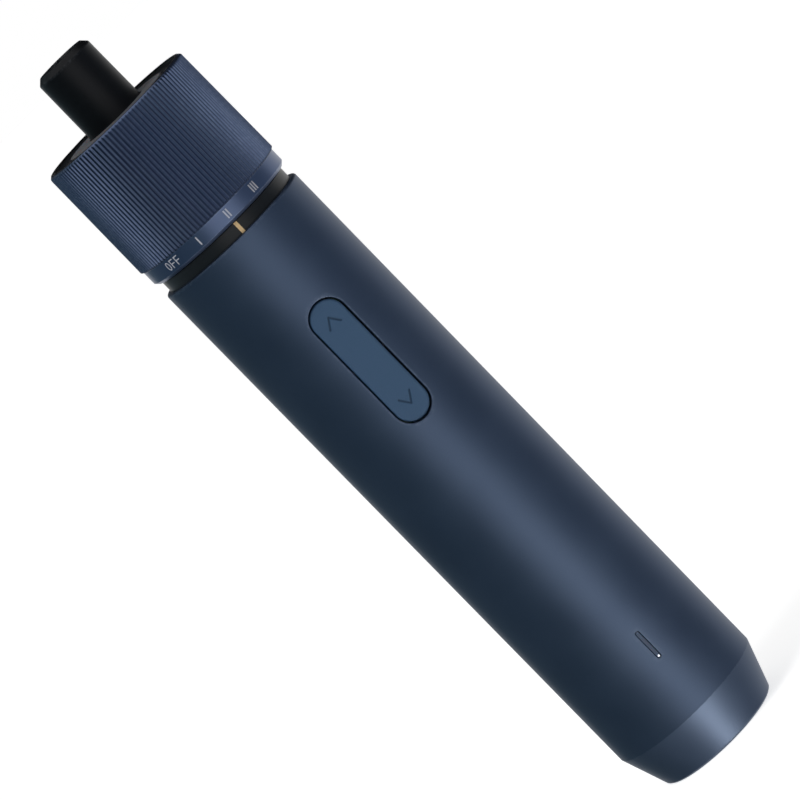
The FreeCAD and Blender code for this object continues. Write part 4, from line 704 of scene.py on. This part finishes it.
# %% Front cap
CAP_R = 17.1 * MM
CAP_RIM_WIDTH = 0.6 * MM
CAP_EDGE = 0.15 * MM
CAP_EDGE_SHARES = np.array([0.3, 0.3, 0.3, 0.3, 0.3, 0.3, 1.0, 0.5, 0.3, 0.7, 0.3, 0.3])
SPIGOT_BORE_R = 13.21 * MM
SPIGOT_R = 14.21 * MM
SPIGOT_LENGTH = 1.2 * MM
LIGHT_R = 12.2 * MM
FLANGE_WIDTH = 0.4 * MM
FLANGE_R = LIGHT_R + FLANGE_WIDTH
FLANGE_HEIGHT = 0.9 * MM
FIT = 0.05 * MM

cap_rear = FACE_FRONT - CAP_THICKNESS
spigot_end = cap_rear - SPIGOT_LENGTH
flange_top = cap_rear + FLANGE_HEIGHT
rim_bore = CAP_R - CAP_RIM_WIDTH
corners = [(FLANGE_R + FIT, cap_rear), (SPIGOT_BORE_R, cap_rear), (SPIGOT_BORE_R, spigot_end)]
corners += [(SPIGOT_R, spigot_end), (SPIGOT_R, cap_rear), (CAP_R, cap_rear), (CAP_R, RING_FRONT)]
corners += [(rim_bore, RING_FRONT), (rim_bore, FACE_FRONT), (LIGHT_R + FIT, FACE_FRONT)]
corners += [(LIGHT_R + FIT, flange_top + FIT), (FLANGE_R + FIT, flange_top + FIT)]
radii = CAP_EDGE_SHARES * CAP_EDGE
turned_piece("front_cap_skin", corners, radii, CAP_FINISH, "housing", ["front_cap"])

# %% Light ring
LIGHT_BORE_R = 6.985 * MM
LIGHT_EDGE_SHARES = np.array([0.3, 0.3, 0.3, 0.3, 0.7, 1.0])

corners = [(LIGHT_BORE_R, cap_rear), (FLANGE_R, cap_rear), (FLANGE_R, flange_top)]
corners += [(LIGHT_R, flange_top), (LIGHT_R, FACE_FRONT), (LIGHT_BORE_R, FACE_FRONT)]
radii = LIGHT_EDGE_SHARES * CAP_EDGE
turned_piece("light_ring_skin", corners, radii, LIGHT_FINISH, "housing", ["light_ring"])

# %% [markdown]
# ## The bit holder
# The nose is a plain black barrel with a chamfered tip, and a hexagon socket for quarter inch bits. A cone
# leads into the socket, and where a cone meets six flats the edge comes out as six small arches. They need
# no cutting: along each direction the radius of the hexagon is known, and the cone is followed down until it
# has shrunk to that radius.

# %% The bit holder
SHANK_R = 4.55 * MM
NOSE_BASE_R = 6.685 * MM
NOSE_TIP_R = 6.61 * MM
NOSE_CHAMFER = 1.2 * MM
NOSE_SHOULDER = 170.88 * MM
CLIP_GROOVE_R = 4.05 * MM
SOCKET_APOTHEM = 3.2 * MM
SOCKET_DEPTH = 13.0 * MM
DRIVE_APOTHEM = 3.3 * MM
DRIVE_LENGTH = 3.0 * MM
POCKET_R = 2.65 * MM
POCKET_DEPTH = 3.0 * MM
NOSE_EDGE_SHARES = np.array([0, 0, 0, 0, 0, 0, 1, 1, 1, 5, 2, 0])
HEXAGON = TURN / 6


def hexagon(apothem):
    """Radius of a hexagon in each direction: apothem over the cosine of the angle from a flat's middle."""
    return apothem / np.cos(ROUND % HEXAGON - HEXAGON / 2)


def bit_holder():
    """Rows from the drive end up the outside, over the tip, down the lead cone and socket to the magnet."""
    rear = low_high("bit_holder")[0, 2]
    drive_top = rear + DRIVE_LENGTH
    corner_r = SOCKET_APOTHEM / math.cos(HEXAGON / 2)
    groove = low_high("spindle_clip")[:, 2] + np.array([-FIT, FIT])
    corners = [(0.0, drive_top), (SHANK_R, drive_top), (SHANK_R, groove[0]), (CLIP_GROOVE_R, groove[0])]
    corners += [(CLIP_GROOVE_R, groove[1]), (SHANK_R, groove[1]), (SHANK_R, NOSE_SHOULDER)]
    corners += [(NOSE_BASE_R, NOSE_SHOULDER), (NOSE_BASE_R, FACE_FRONT), (NOSE_TIP_R, TIP - NOSE_CHAMFER)]
    corners += [(NOSE_TIP_R - NOSE_CHAMFER, TIP), (corner_r, TIP)]
    outline, on_arc = rounded(corners, NOSE_EDGE_SHARES * SOFT)
    used = slice(CORNER_POINTS, -1)
    rim = outline[used]
    blank = np.ones_like(ROUND)
    socket = hexagon(SOCKET_APOTHEM)
    floor = TIP - SOCKET_DEPTH
    radius = [0 * blank, hexagon(DRIVE_APOTHEM), hexagon(DRIVE_APOTHEM), *(rim[:, :1] * blank)]
    height = [rear * blank, rear * blank, drive_top * blank, *(rim[:, 1:] * blank)]
    radius += [socket, socket, POCKET_R * blank, POCKET_R * blank, 0 * blank]
    height += [TIP - corner_r + socket, floor * blank, floor * blank]
    height += [(floor - POCKET_DEPTH) * blank, (floor - POCKET_DEPTH) * blank]
    wear_and_painted_light = np.concatenate([np.zeros(3), on_arc[used], [1], np.zeros(4)])
    faces = quads(len(radius), ROUND.size, close_columns=True)
    grid = (lathe(np.array(radius), np.array(height), ROUND), faces, wear_and_painted_light[:, None])
    make_piece("bit_holder_skin", [grid], STEEL_FINISH, "spindle", ["bit_holder"])


bit_holder()

# %% [markdown]
# ## The thumb button and the lamp bar
# Both are round-ended bars in the sleeve's slots, so one function makes them: rings of the same outline that
# shrink from the edge of the face to a line in its middle. The button's face is flat and carries two sunk
# arrow heads, one at each end. They are real grooves: each point of the face knows its distance from the
# nearest arrow stroke and sinks by a smooth step of that distance.

# %% Round-ended bars
def round_ended(section, middle, half_length, side_steps, turn_steps):
    """Points of a bar from a section of (outline radius, depth) rows: the outline is a line between the two
    end centres, plus the radius in a direction that turns half a circle about each end."""
    side = np.linspace(-half_length, half_length, side_steps, endpoint=False)
    turn = np.linspace(0, TURN / 2, turn_steps, endpoint=False)
    end = np.full(turn_steps, half_length)
    centre = np.concatenate([side, end, -side, -end])
    angle = np.concatenate([0 * side, turn, 0 * side + TURN / 2, turn + TURN / 2])
    radius, depth = np.array(section).T[:, :, None]
    x = radius * np.cos(angle)
    z = middle + centre + radius * np.sin(angle)
    return x, np.broadcast_to(depth, x.shape), z


def face_section(radius, edge, rings):
    """Section rows of a flat face from its middle line outwards, and over its rounded edge."""
    face = [(ring, 0.0) for ring in np.linspace(0, radius - edge, rings)]
    return face + list(zip(radius - edge * (1 - np.sin(QUARTER)), edge * (1 - np.cos(QUARTER))))


# %% Arrow heads
ARROW_HALF_WIDTH = 1.5 * MM
ARROW_HEIGHT = 2.1 * MM
ARROW_STROKE = 0.22 * MM
ARROW_SHOULDER = 0.12 * MM
ARROW_DEPTH = 0.2 * MM
# An arrow head is the height of its apex, and 1 if it points up or -1 if it points down.
ARROWS = ((116.9 * MM, 1), (93.5 * MM, -1))


def arrow_grooves(x, z):
    """Depth of the sunk arrow heads: full within half a stroke of a line, nothing past the soft shoulder."""
    nearest = np.full(x.shape, np.inf)
    for apex, way in ARROWS:
        run = np.array([ARROW_HALF_WIDTH, -way * ARROW_HEIGHT])
        share = np.clip((np.abs(x) * run[0] + (z - apex) * run[1]) / (run @ run), 0, 1)
        distance = np.hypot(np.abs(x) - share * run[0], z - apex - share * run[1])
        nearest = np.minimum(nearest, distance)
    soft = np.clip((nearest - ARROW_STROKE / 2) / ARROW_SHOULDER, 0, 1)
    return ARROW_DEPTH * (1 - soft * soft * (3 - 2 * soft))


# %% Underside of the button
BUTTON_GAP = 0.3 * MM
BUTTON_R = BUTTON_SLOT[2] - BUTTON_GAP
BUTTON_MIDDLE = (BUTTON_SLOT[0] + BUTTON_SLOT[1]) / 2
BUTTON_HALF = BUTTON_SLOT[1] - BUTTON_MIDDLE - BUTTON_SLOT[2]
BUTTON_FACE = -16.95 * MM
BUTTON_THICKNESS = 1.6 * MM
ROOT_INSET = 0.3 * MM
AXLE_Y = -14.35 * MM
AXLE_HOLE_R = 0.56 * MM
LUG_R = 0.9 * MM
PAD_R = 1.4 * MM
PAD_END = -14.75 * MM
PAD_SPREAD = 11.0 * MM
HOOK_HALF_WIDTH = 2.0 * MM
HOOK_LENGTH = 1.6 * MM
HOOK_Y = (-14.95 * MM, -14.45 * MM)
HOOK_REACH = 0.9 * MM


def closed_tube(rings):
    """Skin over rings of points, each end drawn in to the middle of its ring."""
    middle = rings[[0, -1]].mean(axis=1, keepdims=True) + 0 * rings[[0, -1]]
    points = np.concatenate([middle[:1], rings, middle[1:]])
    return points, quads(*points.shape[:2], close_columns=True), 0.0


def brick(half_width, depths, middle, half_height):
    """Box across the middle plane: the same four corners at two depths."""
    x = np.array([-1, 1, 1, -1]) * half_width
    z = middle + np.array([-1, -1, 1, 1]) * half_height
    return closed_tube(np.stack([np.stack([x, 0 * x + depth, z], axis=-1) for depth in depths]))


def underside():
    """Axle lug, two pads over the switches and two hooks under the sleeve's edge."""
    root = BUTTON_FACE + BUTTON_THICKNESS - ROOT_INSET
    lug_half = BUTTON_R - ROOT_INSET
    radius = np.array([LUG_R, LUG_R, AXLE_HOLE_R, AXLE_HOLE_R])[:, None]
    x = np.array([-1, 1, 1, -1])[:, None] * lug_half + 0 * SMALL_ROUND
    y = AXLE_Y + radius * np.cos(SMALL_ROUND)
    lug = np.stack([x, y, BUTTON_MIDDLE + radius * np.sin(SMALL_ROUND)], axis=-1)
    grids = [(lug, quads(*x.shape, close_rows=True, close_columns=True), 0.0)]
    grids.append(brick(lug_half, (root, AXLE_Y - AXLE_HOLE_R), BUTTON_MIDDLE, LUG_R))
    outer = BUTTON_HALF + BUTTON_R - HOOK_LENGTH / 2
    for side in (-1, 1):
        pad_x = PAD_R * np.cos(SMALL_ROUND)
        pad_z = BUTTON_MIDDLE + side * PAD_SPREAD + PAD_R * np.sin(SMALL_ROUND)
        ring = np.stack([pad_x, 0 * pad_x, pad_z], axis=-1)
        grids.append(closed_tube(np.stack([ring + (0, root, 0), ring + (0, PAD_END, 0)])))
        for depths, place in (((root, HOOK_Y[1]), outer - ROOT_INSET), (HOOK_Y, outer + HOOK_REACH)):
            grids.append(brick(HOOK_HALF_WIDTH, depths, BUTTON_MIDDLE + side * place, HOOK_LENGTH / 2))
    return grids


# %% The thumb button
BUTTON_ROUND = 0.45 * MM
FACE_RINGS = 40

section = face_section(BUTTON_R, BUTTON_ROUND, FACE_RINGS)
section += [(BUTTON_R, BUTTON_ROUND + HOLD), (BUTTON_R, BUTTON_THICKNESS), (0.0, BUTTON_THICKNESS)]
x, depth, z = round_ended(section, BUTTON_MIDDLE, BUTTON_HALF, side_steps=230, turn_steps=60)
on_face = (np.arange(len(section)) < FACE_RINGS)[:, None]
sunk = arrow_grooves(x, z) * on_face
points = np.stack([x, BUTTON_FACE + depth + sunk, z], axis=-1)
worn = np.zeros((len(section), 1))
worn[FACE_RINGS:FACE_RINGS + QUARTER.size] = 1
# The sunk arrow heads get a value below zero, which the finish turns into painted shade.
grid = (points, quads(*x.shape, close_columns=True), worn - sunk / ARROW_DEPTH)
make_piece("thumb_button", [grid, *underside()], BUTTON_FINISH, "rocker", ["rocker_button"])

# %% [markdown]
# The lamp bar follows the sleeve's curve a little below its surface. At its tail end a small round window
# stays lit, which is a shallow dome on the bar.

# %% The lamp bar and its lit point
LENS_R = LAMP_SLOT[2] - SLIDE_GAP
LENS_MIDDLE = (LAMP_SLOT[0] + LAMP_SLOT[1]) / 2
LENS_HALF = LAMP_SLOT[1] - LENS_MIDDLE - LAMP_SLOT[2]
LENS_SET_BACK = 0.05 * MM
LENS_EDGE = 0.1 * MM
LENS_DEPTH = 1.7 * MM
LENS_RINGS = 5
LIT_R = 0.2 * MM
LIT_HEIGHT = 0.04 * MM
DOME_SHARES = np.array([0.0, 0.35, 0.7, 0.9, 1.0, 1.0, 0.0])[:, None]
DOME_HEIGHT_SHARES = np.array([1.0, 0.9, 0.6, 0.3, 0.0, -1.0, -1.0])[:, None]


def lens_grid(x, depth, z):
    """Closed grid at a depth below the bar's face, where y is minus the root of r squared less x squared."""
    face = -np.sqrt((BODY_R - LENS_SET_BACK) ** 2 - x ** 2)
    return np.stack([x, face + depth, z], axis=-1), quads(*x.shape, close_columns=True), 0.0


section = face_section(LENS_R, LENS_EDGE, LENS_RINGS) + [(LENS_R, LENS_DEPTH), (0.0, LENS_DEPTH)]
grid = lens_grid(*round_ended(section, LENS_MIDDLE, LENS_HALF, side_steps=24, turn_steps=16))
make_piece("lamp_bar", [grid], LENS_FINISH, "housing", ["indicator_lens"])

dome = LIT_R * DOME_SHARES
z = LENS_MIDDLE - LENS_HALF + dome * np.sin(SMALL_ROUND)
grid = lens_grid(dome * np.cos(SMALL_ROUND), -LIT_HEIGHT * DOME_HEIGHT_SHARES, z)
make_piece("lit_point", [grid], LIT_FINISH, "housing")

# %% [markdown]
# ## Finishes of the pieces inside
# Nothing inside shows while the tool is whole, but the pieces are real and somebody may open it. Each slot
# of the record is one material: a noise, or bands where the piece is wound or laminated, changes its colour,
# its gloss and a shallow relief. The row gives the real material, two colours, how metallic it is, two
# roughness values, the grain in millimetres and, where it isn't noise, the kind of pattern.

# %% Inside finishes
INSIDE = {
    "gear_steel": ("hobbed_gear_steel", "#86878b", "#9b9ca0", 1.0, 0.26, 0.38, 0.4),
    "shaft_steel": ("ground_shaft_steel", "#9b9ca1", "#adaeb2", 1.0, 0.16, 0.26, 0.2, "TexWave"),
    "gearbox_zinc": ("die_cast_zinc", "#7c7f84", "#8f9297", 1.0, 0.42, 0.56, 0.8),
    "bronze": ("sintered_bronze", "#9a6c3c", "#b48550", 1.0, 0.4, 0.55, 0.3),
    "motor_zinc": ("zinc_plated_steel", "#a5a8ad", "#b6b9be", 1.0, 0.24, 0.36, 2.5),
    "magnet": ("sintered_ferrite", "#35353a", "#424247", 0.2, 0.55, 0.7, 0.5),
    "core_steel": ("laminated_core_steel", "#55565a", "#707176", 1.0, 0.4, 0.55, 0.5, "TexWave"),
    "copper": ("enamelled_copper_wire", "#9c5a30", "#c07a48", 1.0, 0.22, 0.35, 0.35, "TexWave"),
    "lead_rubber": ("red_silicone_insulation", "#93231d", "#a63028", 0.0, 0.45, 0.55, 0.8),
    "seal_rubber": ("black_nitrile_rubber", "#141414", "#1c1c1d", 0.0, 0.55, 0.7, 0.3),
    "cell_wrap": ("shrink_film", "#1f6570", "#297782", 0.0, 0.2, 0.3, 6.0),
    "tin_plate": ("bright_tin_plate", "#b7b6b0", "#c8c7c1", 1.0, 0.16, 0.28, 1.2),
    "board_epoxy": ("green_solder_mask", "#0e4a2a", "#15603a", 0.0, 0.28, 0.4, 1.0),
    "chip_epoxy": ("moulded_chip_epoxy", "#17171a", "#202024", 0.0, 0.5, 0.62, 0.2),
    "led": ("lamp_phosphor", "#e0cf86", "#efe0a0", 0.0, 0.35, 0.5, 0.3),
    "frame_plastic": ("glass_filled_nylon", "#28292c", "#35363a", 0.0, 0.48, 0.6, 0.4),
}
RELIEF_SHARE = 0.02


def inside_finish(name, dark, light, metallic, smooth, rough, grain, kind="TexNoise"):
    """Noise or bands of one grain size drive colour, gloss and a relief of a small share of the grain."""
    material, tree, shader, place = new_finish(name, {"Metallic": metallic})
    size = grain * MM
    settings = {"Scale": 1 / size, "Detail": 3.0}
    if kind == "TexWave":
        settings |= {"Scale": WAVE_BAND / size, "bands_direction": "Z"}
    pattern = add(tree, kind, settings, {"Vector": place}).outputs["Fac"]
    tone(tree, shader, pattern, (dark, light), (smooth, rough))
    relief(tree, shader, pattern, RELIEF_SHARE * size)
    return material


finishes = {slot: inside_finish(*row) for slot, row in INSIDE.items()}
finishes |= {
    "black_plastic": BLACK_FINISH,
    "index_paint": INDEX_FINISH,
    "anodised_sleeve": SLEEVE_FINISH,
    "anodised_ring": RING_FINISH,
    "button_plastic": BUTTON_FINISH,
    "cap_plastic": CAP_FINISH,
    "light_plastic": LIGHT_FINISH,
    "black_steel": STEEL_FINISH,
}
for part in frame["record"]["subparts"]:
    slots = frame["nodes"][part["node"]].data.materials
    slots.clear()
    slots.append(finishes[part["material_slot"]])

# %% [markdown]
# ## Camera
# The picture is taken from in front with a long lens, a little above the tool's middle and a little to its
# left, and the camera is rolled so that the tool lies across the frame with its nose at the upper left.

# %% The camera
AZIMUTH = math.radians(-7.9)
ELEVATION = math.radians(7.7)
ROLL = math.radians(44.313)
DISTANCE = 1248 * MM
AIM_HEIGHT = 93.2 * MM
AIM_RIGHT = 1.1 * MM
LENS_LENGTH = 283.5  # in millimetres, as Blender counts it


def heading(azimuth, elevation):
    """Unit vector from the tool towards a place at that azimuth from -Y and that height above level."""
    flat = math.cos(elevation)
    return Vector((math.sin(azimuth) * flat, -math.cos(azimuth) * flat, math.sin(elevation)))


back = heading(AZIMUTH, ELEVATION)
level = Vector((math.cos(AZIMUTH), math.sin(AZIMUTH), 0))
upright = back.cross(level)
aim = Vector((0, 0, AIM_HEIGHT)) + AIM_RIGHT * level
up = upright * math.cos(ROLL) + level * math.sin(ROLL)
right = level * math.cos(ROLL) - upright * math.sin(ROLL)
camera = bpy.data.objects.new("camera", bpy.data.cameras.new("camera"))
camera.data.lens = LENS_LENGTH
camera.matrix_world = Matrix((right, up, back)).transposed().to_4x4()
camera.location = aim + DISTANCE * back
bpy.context.scene.collection.objects.link(camera)
bpy.context.scene.camera = camera
print(f"camera {DISTANCE / MM:.0f} mm from the tool, rolled {math.degrees(ROLL):.1f} degrees")

# %% [markdown]
# ## Light and floor
# Dark metal shows its surroundings, so the light is built like a product photographer's table. The background
# is white for the camera and for reflections. Curved grey cards stand round the tool. They are seen only in
# reflections, and that is what gives a dark tube its dark flanks. The floor is white with the tool's shadow
# on it, and casts none itself.

# %% Background and floor
FILL = 0.35
FLOOR_HALF = 3.0
FLOOR_DROP = 0.02 * MM
FLOOR_LIFT = 0.66


def seen_directly(tree):
    """1 for rays from the camera, mirrors and glass, 0 for light that is being gathered."""
    path = add(tree, "LightPath").outputs
    seen = path["Is Camera Ray"]
    for kind in ("Is Glossy Ray", "Is Transmission Ray"):
        seen = add(tree, "Math", {"operation": "MAXIMUM"}, {0: seen, 1: path[kind]}).outputs["Value"]
    return seen


def stage_sheet(name, points, material):
    """Grid of points as a stage object, which isn't part of the tool."""
    mesh = bpy.data.meshes.new(name)
    mesh.from_pydata(points.reshape(-1, 3).tolist(), [], quads(*points.shape[:2]).reshape(-1, 4).tolist())
    mesh.materials.append(material)
    sheet = bpy.data.objects.new(name, mesh)
    bpy.context.scene.collection.objects.link(sheet)
    return sheet


world = bpy.data.worlds.new("white_studio")
bpy.context.scene.world = world
world.use_nodes = True
sky = world.node_tree
strength = add(sky, "MapRange", {"To Min": FILL, "To Max": 1.0}, {"Value": seen_directly(sky)})
sky.links.new(strength.outputs["Result"], sky.nodes["Background"].inputs["Strength"])
sky.nodes["Background"].inputs["Color"].default_value = linear("#ffffff")

paint = {"Base Color": linear("#f2f2f2"), "Roughness": 0.9, "Emission Color": linear("#ffffff")}
floor_finish, tree, shader, _ = new_finish("white_floor", paint)
lift = add(tree, "Math", {"operation": "MULTIPLY", 1: FLOOR_LIFT}, {0: seen_directly(tree)})
tree.links.new(lift.outputs["Value"], shader.inputs["Emission Strength"])
ends = np.array([-FLOOR_HALF, FLOOR_HALF])
flat_x, flat_y = np.meshgrid(ends, ends)
floor = stage_sheet("floor", np.stack([flat_x, flat_y, 0 * flat_x - FLOOR_DROP], axis=-1), floor_finish)
floor.visible_glossy = False
floor.visible_shadow = False
print("floor", 2 * FLOOR_HALF, "m across, background white")

# %% Grey cards
CARD_DISTANCE = 0.4
CARD_COLUMNS = 25
# Angles are in degrees from the camera's azimuth, heights in metres.
CARDS = {
    "left_card": (-150, -17, -0.45, 0.65, "#637379"),
    "right_card": (35, 104, -0.45, 0.65, "#727b85"),
    "back_card": (105, 209, 0.19, 0.75, "#16181c"),
}

for name, (start, end, low, high, colour) in CARDS.items():
    paint = {"Base Color": linear(colour), "Roughness": 1.0, "Specular IOR Level": 0.0}
    paint |= {"Emission Color": linear(colour), "Emission Strength": 1.0}
    card_finish = new_finish(name, paint)[0]
    angles = AZIMUTH + np.radians(np.linspace(start, end, CARD_COLUMNS))
    card = stage_sheet(name, lathe(CARD_DISTANCE, np.array([[low], [high]]), angles[None]), card_finish)
    card.visible_camera = False
    card.visible_diffuse = False
    card.visible_shadow = False
    print(name, "over", end - start, "degrees")

# %% [markdown]
# Two lamps shine from in front and below, where the floor doesn't stop them: a broad one for the tube, and a
# small warm one for the tail. The small one has a grid, which Blender calls spread, so its light stays on the
# tail. A narrow spread gathers a lamp's power in the middle of its beam, so the power is cut by the same
# factor. The third lamp hangs at the upper left, draws the shadow and stays out of the reflections.

# %% Lamps
# The first number is the height that the lamp points at, the last says whether it shows in reflections.
LAMPS = {
    "tail_lamp": (0.01, 3, -46, 0.5, 0.12, 47.0, 26, "#fff0de", True),
    "front_lamp": (0.03, 3, -16, 0.6, 0.22, 1.3, 180, "#ffffff", True),
    "left_lamp": (0.1, -50, 45, 0.7, 0.35, 5.0, 180, "#ffffff", False),
}

for name, row in LAMPS.items():
    height, azimuth, elevation, distance, size, radiance, spread, colour, mirrored = row
    lamp = bpy.data.lights.new(name, "AREA")
    lamp.size = size
    lamp.spread = math.radians(spread)
    half = lamp.spread / 2
    lamp.energy = radiance * math.pi * size ** 2 * (1 - half / math.tan(half))
    lamp.color = linear(colour)[:3]
    holder = bpy.data.objects.new(name, lamp)
    way = heading(math.radians(azimuth), math.radians(elevation))
    holder.location = Vector((0, 0, height)) + distance * way
    holder.rotation_mode = "QUATERNION"
    holder.rotation_quaternion = way.to_track_quat("Z", "Y")
    holder.visible_camera = False
    holder.visible_glossy = mirrored
    bpy.context.scene.collection.objects.link(holder)
    print(name, f"{lamp.energy:.2f} W")

bpy.context.scene.view_settings.view_transform = "Standard"
